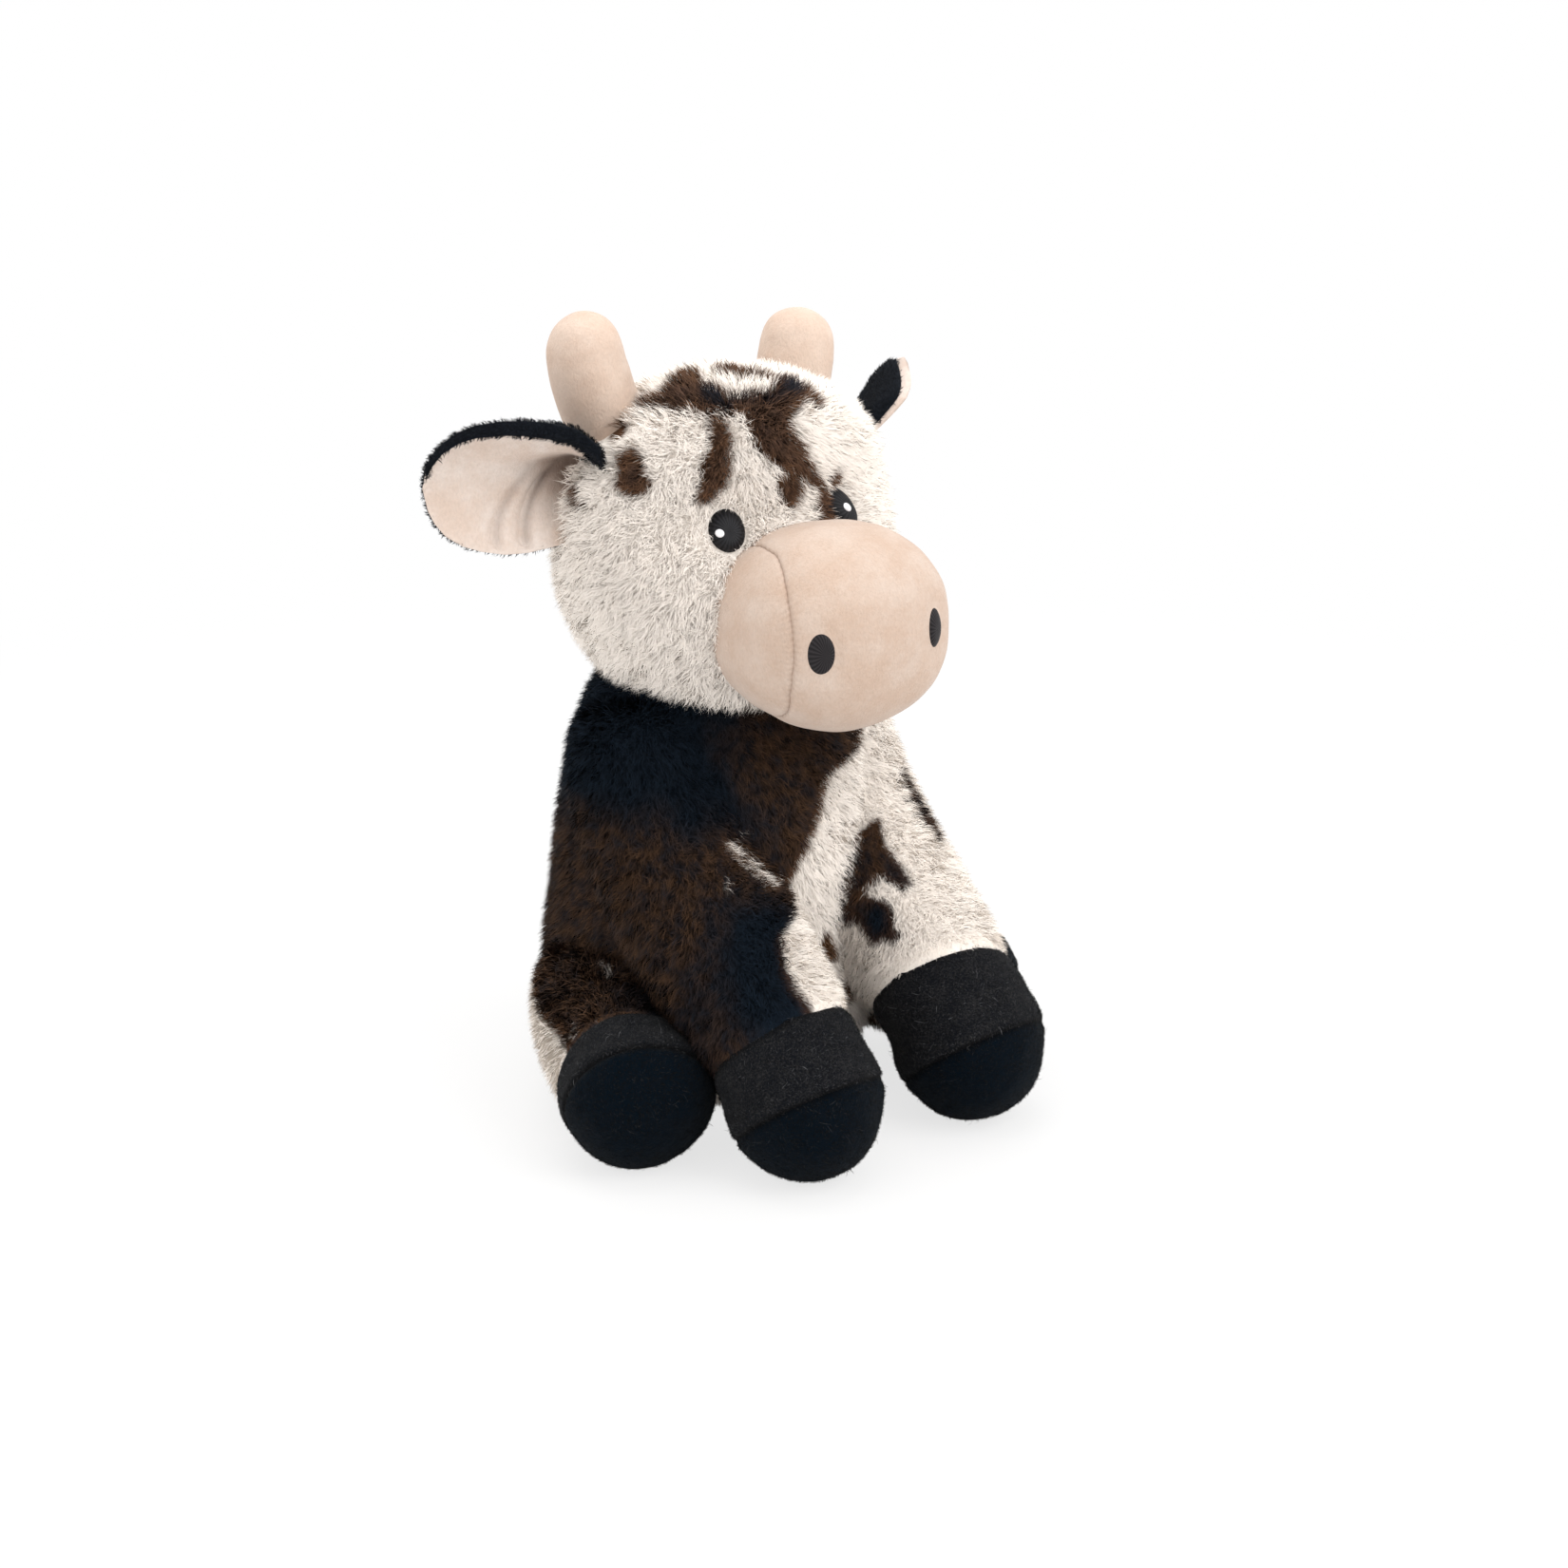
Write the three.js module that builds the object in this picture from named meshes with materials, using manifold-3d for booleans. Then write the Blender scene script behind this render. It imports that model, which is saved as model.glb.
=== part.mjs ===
// Sitting plush cow, 29 cm tall, built as it is sewn: fabric covers over separate stuffing.
// Millimetres, +Z up. The cow faces -Y, its right side is -X, and the seat rests on z = 0 at the origin.
// Each limb, the tail, the ears and the head are shaped to swing on their seams without cutting in.
import * as THREE from 'three';
import { mergeVertices } from 'three/addons/utils/BufferGeometryUtils.js';
import Module from 'manifold-3d';

const wasm = await Module();
wasm.setup();
const { Manifold, Mesh } = wasm;

// Fabrics and clearances
const PLUSH_WALL = 3;
const VELOUR_WALL = 2;
const FLEECE_WALL = 2.5;
const SEWN_GAP = 0.3;
const EMBROIDERY_THICKNESS = 1;
const FLOOR_CUT = 0.5;

// Torso: a pear with its seat on the floor and its neck under the head
const TORSO_HEIGHT = 180;
const TORSO_HALF_WIDTH = 60;
const TORSO_HALF_DEPTH = 61;
const TORSO_SEAT_Y = 6;
const TORSO_LEAN = 14;
const BEAN_BAG_HALF_WIDTH = 32;
const BEAN_BAG_HALF_HEIGHT = 13;

// Head: broader than it is deep, and round about its turning axis below the cheeks
const HEAD_HALF_WIDTH = 67;
const HEAD_HALF_DEPTH = 52;
const HEAD_HEIGHT = 125;
const HEAD_Y = -9;
const CHIN_Z = 143.5;
const BROW_SETBACK = 4;
const NECK_HOLE_RADIUS = 26;
const HEAD_TURN = 20;

// Muzzle: a broad pad of one nose panel between two side panels
const MUZZLE_HALF_WIDTH = 41;
const MUZZLE_FRONT_DEPTH = 36.5;
const MUZZLE_BACK_DEPTH = 44;
const MUZZLE_HALF_HEIGHT = 35;
const MUZZLE_DROOP = 4.9;
const MUZZLE_Y = -66.5;
const MUZZLE_Z = 186.2;
const MUZZLE_SQUARENESS = 2.1;
const MUZZLE_SIDE_SQUARENESS = 2.3;
const MUZZLE_SEAM_X = 33;

// Face embroidery
const EYE_X = 27;
const EYE_Y = -40;
const EYE_RISE = 77.5;
const EYE_SINK = 20;
const EYE_TURN = 27;
const EYE_HALF_WIDTH = 6.6;
const EYE_HALF_HEIGHT = 7.6;
const GLINT_HALF_WIDTH = 2.1;
const GLINT_HALF_HEIGHT = 1.9;
const GLINT_DROP = 1.2;
const GLINT_SHIFT = -2;
const NOSTRIL_X = 24;
const NOSTRIL_Z = 186.5;
const NOSTRIL_HALF_WIDTH = 4.2;
const NOSTRIL_HALF_HEIGHT = 7.5;

// Horns: the right one stands a little taller, as stuffed
const HORN_RADIUS = 14;
const HORN_BASE_X = 38;
const HORN_BASE_Z = 242.5;
const HORN_TIP_X_RIGHT = 53;
const HORN_TIP_X_LEFT = 47;
const HORN_TIP_Z_RIGHT = 290.5;
const HORN_TIP_Z_LEFT = 284;
const HORN_Y = 6;

// Ears: cupped leaves, pinched at the root
const EAR_LENGTH = 61;
const EAR_HALF_WIDTH = 24;
const EAR_ROOT_X = 58;
const EAR_ROOT_Y = 0;
const EAR_ROOT_Z = 236.5;
const EAR_ROOT_RADIUS = 5;
const EAR_SWEEP_BACK = 20;
const EAR_RAISE_RIGHT = -4;
const EAR_RAISE_LEFT = 5;
const EAR_FLOP = 12;
const EAR_FACE_DOWN = 12;
const EAR_CUP_ROOT = 84;
const EAR_CUP_TIP = 34;

// Forelegs: from the shoulder down and forward to a hoof on the floor
const SHOULDER_X = 38;
const SHOULDER_Y = -6;
const SHOULDER_Z = 156.5;
const FORELEG_PIVOT_Y = 14;
const FORELEG_PIVOT_Z = 147;
const FORELEG_RADIUS = 30;
const FORE_HOOF_X_RIGHT = 37;
const FORE_HOOF_X_LEFT = 43;
const FORE_HOOF_REACH = 101;
const FORE_HOOF_END_Z = -0.5;
const FORE_SOLE_TILT = 38;
const FORELEG_LIFT = 12;

// Hind legs: from the hip forward and outward, soles to the front
const HIP_X = 37;
const HIP_Y = 24;
const HIP_Z = 40;
const HINDLEG_RADIUS = 27;
const HIND_HOOF_END_X = 83;
const HIND_HOOF_END_Y = -73;
const HIND_HOOF_END_Z = 20.5;
const HIND_SOLE_TILT = 68;
const HIND_SOLE_TURN = 27;
const HINDLEG_SPLAY = 25;

// Tail: hangs down the back, with a tuft
const TAIL_ROOT_Y = 64;
const TAIL_ROOT_Z = 62;
const TAIL_END_Y = 78;
const TAIL_END_Z = 8;
const TAIL_RADIUS = 4.5;
const TAIL_FACE_Y = 66.2;

// Facets
const HEAD_SIDES = 22;
const TORSO_SIDES = 20;
const LIMB_SIDES = 12;
const HORN_SIDES = 10;
const MUZZLE_SIDES = 18;
const MUZZLE_RINGS = 12;
const BEAN_BAG_SIDES = 14;
const BEAN_BAG_RINGS = 6;
const PATCH_SIDES = 14;
const EAR_STEPS_ALONG = 8;
const EAR_STEPS_ACROSS = 6;
const SWING_STEPS = 3;

// Sections from end to end: share of the length, then share of the half width and of the half depth
const torsoSectionShares = [
  [0, 0, 0], [0, 0.58, 0.56], [0.035, 0.84, 0.82], [0.11, 0.98, 0.97], [0.24, 1.04, 1.03],
  [0.4, 1, 1], [0.55, 0.97, 0.97], [0.69, 0.93, 0.88], [0.81, 0.88, 0.74], [0.91, 0.73, 0.57],
  [0.97, 0.48, 0.38], [1, 0, 0],
];
const headSectionShares = [
  [0, 0, 0], [0.035, 0.35, 0.45], [0.12, 0.65, 0.84], [0.23, 0.8, 1.03], [0.36, 0.92, 1.07],
  [0.5, 0.99, 0.96], [0.64, 1.01, 0.75], [0.77, 0.94, 0.74], [0.88, 0.74, 0.69], [0.96, 0.44, 0.45],
  [1, 0, 0],
];
const forelegSectionShares = [
  [0, 0, 0], [0.02, 0.6, 0.65], [0.07, 0.84, 0.92], [0.17, 0.96, 1.02], [0.35, 1, 1.05],
  [0.52, 0.99, 1.03], [0.66, 0.92, 0.95], [0.76, 0.88, 0.9], [0.86, 0.91, 0.91], [0.93, 0.76, 0.76],
  [0.98, 0.46, 0.46], [1, 0, 0],
];
const hindlegSectionShares = [
  [0, 0, 0], [0.015, 0.5, 0.5], [0.09, 0.84, 0.84], [0.24, 0.95, 0.95], [0.42, 0.98, 0.98],
  [0.6, 0.94, 0.94], [0.74, 0.97, 0.97], [0.85, 0.95, 0.95], [0.93, 0.78, 0.78], [0.98, 0.46, 0.46],
  [1, 0, 0],
];
const hornSectionShares = [
  [0, 0, 0], [0.05, 0.98, 1], [0.35, 1, 1.02], [0.62, 0.99, 1], [0.82, 0.88, 0.9], [0.94, 0.58, 0.6],
  [1, 0, 0],
];
const tailSectionShares = [
  [0, 0, 0], [0.02, 0.7, 0.7], [0.07, 1, 1], [0.4, 0.9, 0.9], [0.62, 0.9, 0.9], [0.72, 1.5, 1.5],
  [0.84, 2.1, 1.9], [0.94, 1.5, 1.4], [1, 0, 0],
];
// The foreleg's centreline as shares of its reach forward and of its drop
const forelegPathShares = [
  [0, 0], [0.06, 0.22], [0.26, 0.42], [0.52, 0.57], [0.76, 0.69], [0.93, 0.81], [1, 1],
];
const FORE_SEAM_SHARE = 0.74;
const FORE_SOLE_SHARE = 0.875;
const HIND_SEAM_SHARE = 0.66;
const HIND_SOLE_SHARE = 0.83;
const TUFT_SEAM_SHARE = 0.64;
// The hind leg's centreline as shares of its run sideways, forward and down
const hindlegPathShares = [[0, 0, 0], [0.35, 0.25, 0.1], [0.72, 0.6, 0.5], [1, 1, 1]];
const earWidthShares = [0.16, 0.42, 0.68, 0.88, 0.99, 1, 0.9, 0.66, 0.26];
const TAIL_BOW_SHARE = 0.12;
const BEAN_BAG_FLAT_SHARE = 0.35;
const TORSO_BEND_SHARE = 0.33;
const TORSO_BEND_LEAN_SHARE = 0.25;
const BROW_START_SHARE = 0.33;
const HORN_BEND_SHARE = 0.67;
const EAR_SETBACK_SHARE = 0.33;

const RIGHT = -1;
const LEFT = 1;
const UP = new THREE.Vector3(0, 0, 1);
const SIDEWAYS = new THREE.Vector3(1, 0, 0);
const BACKWARDS = new THREE.Vector3(0, 1, 0);
const toRadians = THREE.MathUtils.degToRad;

// A three.js geometry with its shared vertices merged, and smooth normals to grow it by
function merged(geometry) {
  const bare = geometry.clone();
  bare.deleteAttribute('normal');
  bare.deleteAttribute('uv');
  const form = mergeVertices(bare);
  form.computeVertexNormals();
  return form;
}

function solidFrom(geometry) {
  const form = merged(geometry);
  return new Manifold(new Mesh({
    numProp: 3,
    vertProperties: Float32Array.from(form.attributes.position.array),
    triVerts: Uint32Array.from(form.index.array),
  }));
}

function geometryFrom(solid) {
  const mesh = solid.getMesh();
  const geometry = new THREE.BufferGeometry();
  geometry.setAttribute('position', new THREE.BufferAttribute(mesh.vertProperties, 3));
  geometry.setIndex(new THREE.BufferAttribute(mesh.triVerts, 1));
  geometry.computeVertexNormals();
  return geometry;
}

// The largest body of a cut, without the slivers that a cut can leave
function mainBody(solid) {
  return solid.decompose().reduce((a, b) => (a.volume() > b.volume() ? a : b));
}

// A stuffed form: oval rings square to a spine, closed by a point at each end
function stuffedForm(spine, across, halfWidth, halfDepth, sectionShares, sides) {
  const positions = [];
  const faces = [];
  const rings = sectionShares.slice(1, -1);
  const last = sectionShares.length - 1;
  const start = spine.getPointAt(sectionShares[0][0]);
  const end = spine.getPointAt(sectionShares[last][0]);
  for (const [at, wide, deep] of rings) {
    const centre = spine.getPointAt(at);
    const tangent = spine.getTangentAt(at);
    const depth = new THREE.Vector3().crossVectors(tangent, across).normalize();
    const width = new THREE.Vector3().crossVectors(depth, tangent).normalize();
    for (let i = 0; i < sides; i += 1) {
      const turn = (2 * Math.PI * i) / sides;
      const point = centre.clone()
        .addScaledVector(width, halfWidth * wide * Math.cos(turn))
        .addScaledVector(depth, halfDepth * deep * Math.sin(turn));
      positions.push(point.x, point.y, point.z);
    }
  }
  const first = rings.length * sides;
  positions.push(start.x, start.y, start.z, end.x, end.y, end.z);
  for (let i = 0; i < sides; i += 1) {
    const next = (i + 1) % sides;
    faces.push(first, i, next);
    for (let ring = 0; ring < rings.length - 1; ring += 1) {
      const low = ring * sides;
      const high = low + sides;
      faces.push(low + i, high + i, high + next, low + i, high + next, low + next);
    }
    faces.push(first + 1, (rings.length - 1) * sides + next, (rings.length - 1) * sides + i);
  }
  return outwards(positions, faces);
}

// An indexed geometry whose faces point out, whichever way its rings ran
function outwards(positions, faces) {
  const geometry = new THREE.BufferGeometry();
  geometry.setAttribute('position', new THREE.Float32BufferAttribute(positions, 3));
  geometry.setIndex(faces);
  if (volumeOf(geometry) < 0) {
    for (let i = 0; i < faces.length; i += 3) [faces[i], faces[i + 1]] = [faces[i + 1], faces[i]];
    geometry.setIndex(faces);
  }
  geometry.computeVertexNormals();
  return geometry;
}

function volumeOf(geometry) {
  const corner = [new THREE.Vector3(), new THREE.Vector3(), new THREE.Vector3()];
  let six = 0;
  for (let i = 0; i < geometry.index.count; i += 3) {
    corner.forEach((point, k) => {
      point.fromBufferAttribute(geometry.attributes.position, geometry.index.getX(i + k));
    });
    six += corner[0].dot(corner[1].clone().cross(corner[2]));
  }
  return six;
}

// The same form grown outwards by a distance, or shrunk by a negative one, as a solid
function grown(form, distance) {
  const moved = form.clone();
  const place = moved.attributes.position;
  const normal = form.attributes.normal;
  for (let i = 0; i < place.count; i += 1) {
    place.setXYZ(
      i,
      place.getX(i) + distance * normal.getX(i),
      place.getY(i) + distance * normal.getY(i),
      place.getZ(i) + distance * normal.getZ(i),
    );
  }
  return solidFrom(moved);
}

// A solid turned about an upright or level line through a point
function turned(solid, pivot, axis, degrees) {
  const about = new THREE.Matrix4().makeTranslation(pivot.x, pivot.y, pivot.z)
    .multiply(new THREE.Matrix4().makeRotationAxis(axis, toRadians(degrees)))
    .multiply(new THREE.Matrix4().makeTranslation(-pivot.x, -pivot.y, -pivot.z));
  return solid.transform(about.elements);
}

// What a swinging piece must leave free: its neighbour turned back through the whole swing
function sweptBack(solid, pivot, axis, from, to) {
  const stops = Array.from(
    { length: SWING_STEPS + 1 }, (_, i) => THREE.MathUtils.lerp(from, to, i / SWING_STEPS),
  );
  return stops.map((stop) => turned(solid, pivot, axis, -stop)).reduce((all, one) => all.add(one));
}

// Trims a solid to what lies past a plane that is square to a direction, or before it
function past(solid, point, direction, gap) {
  return solid.trimByPlane(direction.toArray(), point.dot(direction) + gap);
}

function before(solid, point, direction, gap) {
  return past(solid, point, direction.clone().negate(), gap);
}

const cow = new THREE.Group();

function addPiece(name, solid, material) {
  const mesh = new THREE.Mesh(geometryFrom(mainBody(solid)), material);
  mesh.name = name;
  cow.add(mesh);
}

function fabric(color, roughness) {
  return new THREE.MeshStandardMaterial({ color, roughness, metalness: 0 });
}

const creamPlush = fabric(0xe9e3da, 0.95);
const brownPlush = fabric(0x33241a, 0.95);
const beigeVelour = fabric(0xf0d9c8, 0.9);
const blackVelour = fabric(0x15161b, 0.95);
const blackFleece = fabric(0x131419, 1);
const blackThread = fabric(0x0c0c0e, 0.5);
const greyThread = fabric(0x1d1a1c, 0.6);
const whiteThread = fabric(0xf4f4f6, 0.5);
const polyesterFibre = fabric(0xf6f6f4, 1);
const beanCloth = fabric(0xd9d4c8, 0.9);

// Torso
const torsoSpine = new THREE.CatmullRomCurve3([
  new THREE.Vector3(0, TORSO_SEAT_Y, -FLOOR_CUT),
  new THREE.Vector3(
    0, TORSO_SEAT_Y - TORSO_LEAN * TORSO_BEND_LEAN_SHARE, TORSO_HEIGHT * TORSO_BEND_SHARE,
  ),
  new THREE.Vector3(0, TORSO_SEAT_Y - TORSO_LEAN, TORSO_HEIGHT),
]);
const torsoForm = stuffedForm(
  torsoSpine, SIDEWAYS, TORSO_HALF_WIDTH, TORSO_HALF_DEPTH, torsoSectionShares, TORSO_SIDES,
);

// Head form, and the round socket that clears it at every turn
const headSpine = new THREE.CatmullRomCurve3([
  new THREE.Vector3(0, HEAD_Y, CHIN_Z),
  new THREE.Vector3(0, HEAD_Y, CHIN_Z + HEAD_HEIGHT * BROW_START_SHARE),
  new THREE.Vector3(0, HEAD_Y + BROW_SETBACK, CHIN_Z + HEAD_HEIGHT),
]);
const headForm = stuffedForm(
  headSpine, SIDEWAYS, HEAD_HALF_WIDTH, HEAD_HALF_DEPTH, headSectionShares, HEAD_SIDES,
);
const headCentre = new THREE.Vector3(0, HEAD_Y, CHIN_Z + HEAD_HEIGHT / 2);
const headAxis = new THREE.CatmullRomCurve3([
  new THREE.Vector3(0, HEAD_Y, CHIN_Z),
  new THREE.Vector3(0, HEAD_Y, CHIN_Z + HEAD_HEIGHT),
]);
const socketRadius = 1 / Math.cos(Math.PI / HEAD_SIDES);
const socketSectionShares = headSectionShares.map(([at, wide, deep]) => {
  const reach = Math.max(wide * HEAD_HALF_WIDTH, deep * HEAD_HALF_DEPTH) * socketRadius;
  return [at, reach, reach];
});
const headSocket = grown(
  stuffedForm(headAxis, SIDEWAYS, 1, 1, socketSectionShares, HEAD_SIDES), SEWN_GAP,
);

// Muzzle form: a rounded box, |x|^m + |r|^m = 1 across and |y|^n + |z|^n = |r|^n round it, whose
// lower half hangs deeper towards the front
function muzzleForm() {
  const ball = new THREE.SphereGeometry(1, MUZZLE_SIDES, MUZZLE_RINGS);
  ball.rotateZ(Math.PI / 2);
  const place = ball.attributes.position;
  const [m, n] = [MUZZLE_SIDE_SQUARENESS, MUZZLE_SQUARENESS];
  for (let i = 0; i < place.count; i += 1) {
    const [x, y, z] = [place.getX(i), place.getY(i), place.getZ(i)];
    const round = (Math.abs(y) ** n + Math.abs(z) ** n) ** (1 / n);
    const swell = (Math.abs(x) ** m + round ** m) ** (-1 / m);
    const ahead = y * swell * (y < 0 ? MUZZLE_FRONT_DEPTH : MUZZLE_BACK_DEPTH);
    const droop = z < 0 ? MUZZLE_DROOP * ahead / -MUZZLE_FRONT_DEPTH : 0;
    place.setXYZ(
      i,
      x * swell * MUZZLE_HALF_WIDTH,
      ahead + MUZZLE_Y,
      z * swell * (MUZZLE_HALF_HEIGHT + droop) + MUZZLE_Z,
    );
  }
  return merged(ball);
}
const muzzle = muzzleForm();
const muzzleClearance = grown(muzzle, SEWN_GAP);
const muzzleSweep = sweptBack(muzzleClearance, headCentre, UP, -HEAD_TURN, HEAD_TURN);
const headSweep = headSocket.add(muzzleSweep);
const torsoClearance = grown(torsoForm, SEWN_GAP);
const torsoLining = grown(torsoForm, -PLUSH_WALL);
const floor = [0, 0, 1];
addPiece(
  'torso_cover',
  grown(torsoForm, 0).trimByPlane(floor, 0).subtract(torsoLining.trimByPlane(floor, PLUSH_WALL))
    .subtract(headSweep),
  brownPlush,
);

const beanBag = new THREE.SphereGeometry(BEAN_BAG_HALF_WIDTH, BEAN_BAG_SIDES, BEAN_BAG_RINGS);
beanBag.rotateX(Math.PI / 2);
beanBag.scale(1, 1, BEAN_BAG_HALF_HEIGHT / BEAN_BAG_HALF_WIDTH);
beanBag.translate(
  0, TORSO_SEAT_Y, PLUSH_WALL + SEWN_GAP + BEAN_BAG_HALF_HEIGHT * (1 - BEAN_BAG_FLAT_SHARE),
);
const fillingFloor = PLUSH_WALL + SEWN_GAP;
const stuffing = grown(torsoForm, -PLUSH_WALL - SEWN_GAP);
addPiece(
  'seat_bean_bag', solidFrom(beanBag).intersect(stuffing).trimByPlane(floor, fillingFloor), beanCloth,
);
addPiece(
  'torso_filling',
  stuffing.trimByPlane(floor, fillingFloor).subtract(headSweep)
    .subtract(grown(merged(beanBag), SEWN_GAP)),
  polyesterFibre,
);

// Head
const neckHole = solidFrom(
  new THREE.CylinderGeometry(NECK_HOLE_RADIUS, NECK_HOLE_RADIUS, HEAD_HEIGHT / 2, HEAD_SIDES)
    .rotateX(Math.PI / 2).translate(0, HEAD_Y, CHIN_Z),
);
addPiece(
  'head_cover',
  grown(headForm, 0).subtract(grown(headForm, -PLUSH_WALL)).subtract(neckHole),
  creamPlush,
);
addPiece('head_filling', grown(headForm, -PLUSH_WALL - SEWN_GAP), polyesterFibre);

// A form sewn on the head stands clear of it by the sewn gap
const headClearance = grown(headForm, SEWN_GAP);

// Muzzle
const muzzleShell = grown(muzzle, 0).subtract(grown(muzzle, -VELOUR_WALL)).subtract(headClearance);
const seamHalfGap = SEWN_GAP / 2;
addPiece(
  'muzzle_nose_panel',
  muzzleShell.trimByPlane([1, 0, 0], -MUZZLE_SEAM_X + seamHalfGap)
    .trimByPlane([-1, 0, 0], -MUZZLE_SEAM_X + seamHalfGap),
  beigeVelour,
);
for (const [side, word] of [[RIGHT, 'right'], [LEFT, 'left']]) {
  addPiece(
    `muzzle_side_${word}`,
    muzzleShell.trimByPlane([side, 0, 0], MUZZLE_SEAM_X + seamHalfGap),
    beigeVelour,
  );
}
addPiece(
  'muzzle_filling', grown(muzzle, -VELOUR_WALL - SEWN_GAP).subtract(headClearance), polyesterFibre,
);

// Embroidery: an oval of the layer just above a surface, cut by an oval prism that faces outwards
function embroidered(low, high, halfWidth, halfHeight, centre, direction) {
  const prism = new THREE.CylinderGeometry(1, 1, HEAD_HEIGHT, PATCH_SIDES);
  prism.rotateX(Math.PI / 2);
  prism.scale(halfWidth, halfHeight, 1);
  prism.applyMatrix4(new THREE.Matrix4().lookAt(direction, new THREE.Vector3(), UP));
  prism.translate(...centre.clone().addScaledVector(direction, HEAD_HEIGHT / 2).toArray());
  return high.subtract(low).intersect(solidFrom(prism));
}
const eyeTop = SEWN_GAP + EMBROIDERY_THICKNESS;
const glintTop = eyeTop + SEWN_GAP + EMBROIDERY_THICKNESS;
for (const [side, word] of [[RIGHT, 'right'], [LEFT, 'left']]) {
  const eyeTurn = toRadians(EYE_TURN);
  const facing = new THREE.Vector3(side * Math.sin(eyeTurn), -Math.cos(eyeTurn), 0);
  const eyeAxis = new THREE.Vector3(side * EYE_X, EYE_Y, CHIN_Z + EYE_RISE)
    .addScaledVector(facing, -EYE_SINK);
  addPiece(
    `eye_${word}`,
    embroidered(
      headClearance, grown(headForm, eyeTop), EYE_HALF_WIDTH, EYE_HALF_HEIGHT, eyeAxis, facing,
    ).subtract(muzzleClearance),
    blackThread,
  );
  const glintAxis = eyeAxis.clone().add(new THREE.Vector3(GLINT_SHIFT, 0, -GLINT_DROP));
  addPiece(
    `eye_glint_${word}`,
    embroidered(
      grown(headForm, eyeTop + SEWN_GAP), grown(headForm, glintTop), GLINT_HALF_WIDTH,
      GLINT_HALF_HEIGHT, glintAxis, facing,
    ).subtract(muzzleClearance),
    whiteThread,
  );
  addPiece(
    `nostril_${word}`,
    embroidered(
      muzzleClearance, grown(muzzle, eyeTop), NOSTRIL_HALF_WIDTH, NOSTRIL_HALF_HEIGHT,
      new THREE.Vector3(side * NOSTRIL_X, MUZZLE_Y, NOSTRIL_Z), new THREE.Vector3(0, -1, 0),
    ),
    greyThread,
  );
}

// Horns
for (const [side, word, tipX, tipZ] of [
  [RIGHT, 'right', HORN_TIP_X_RIGHT, HORN_TIP_Z_RIGHT],
  [LEFT, 'left', HORN_TIP_X_LEFT, HORN_TIP_Z_LEFT],
]) {
  const spine = new THREE.CatmullRomCurve3([
    new THREE.Vector3(side * HORN_BASE_X, HORN_Y, HORN_BASE_Z),
    new THREE.Vector3(
      side * THREE.MathUtils.lerp(HORN_BASE_X, tipX, HORN_BEND_SHARE), HORN_Y, (HORN_BASE_Z + tipZ) / 2,
    ),
    new THREE.Vector3(side * tipX, HORN_Y, tipZ),
  ]);
  const form = stuffedForm(spine, SIDEWAYS, HORN_RADIUS, HORN_RADIUS, hornSectionShares, HORN_SIDES);
  addPiece(
    `horn_cover_${word}`,
    grown(form, 0).subtract(grown(form, -VELOUR_WALL)).subtract(headClearance),
    beigeVelour,
  );
  addPiece(
    `horn_filling_${word}`,
    grown(form, -VELOUR_WALL - SEWN_GAP).subtract(headClearance),
    polyesterFibre,
  );
}

// A sheet between two distances from a surface that is given by a function of two shares
function sheet(surface, low, high) {
  const positions = [];
  const faces = [];
  const rows = EAR_STEPS_ALONG + 1;
  const columns = EAR_STEPS_ACROSS + 1;
  for (const lift of [low, high]) {
    for (let i = 0; i < rows; i += 1) {
      for (let j = 0; j < columns; j += 1) {
        const { point, normal } = surface(i / EAR_STEPS_ALONG, (2 * j) / EAR_STEPS_ACROSS - 1);
        point.addScaledVector(normal, lift);
        positions.push(point.x, point.y, point.z);
      }
    }
  }
  const back = rows * columns;
  const rim = [];
  for (let j = 0; j < columns - 1; j += 1) rim.push(j);
  for (let i = 0; i < rows - 1; i += 1) rim.push(i * columns + columns - 1);
  for (let j = columns - 1; j > 0; j -= 1) rim.push((rows - 1) * columns + j);
  for (let i = rows - 1; i > 0; i -= 1) rim.push(i * columns);
  for (let i = 0; i < rows - 1; i += 1) {
    for (let j = 0; j < columns - 1; j += 1) {
      const a = i * columns + j;
      const b = a + columns;
      faces.push(a, a + 1, b + 1, a, b + 1, b);
      faces.push(back + a, back + b + 1, back + a + 1, back + a, back + b, back + b + 1);
    }
  }
  rim.forEach((a, k) => {
    const b = rim[(k + 1) % rim.length];
    faces.push(a, back + a, back + b, a, back + b, b);
  });
  return solidFrom(outwards(positions, faces));
}

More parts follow.
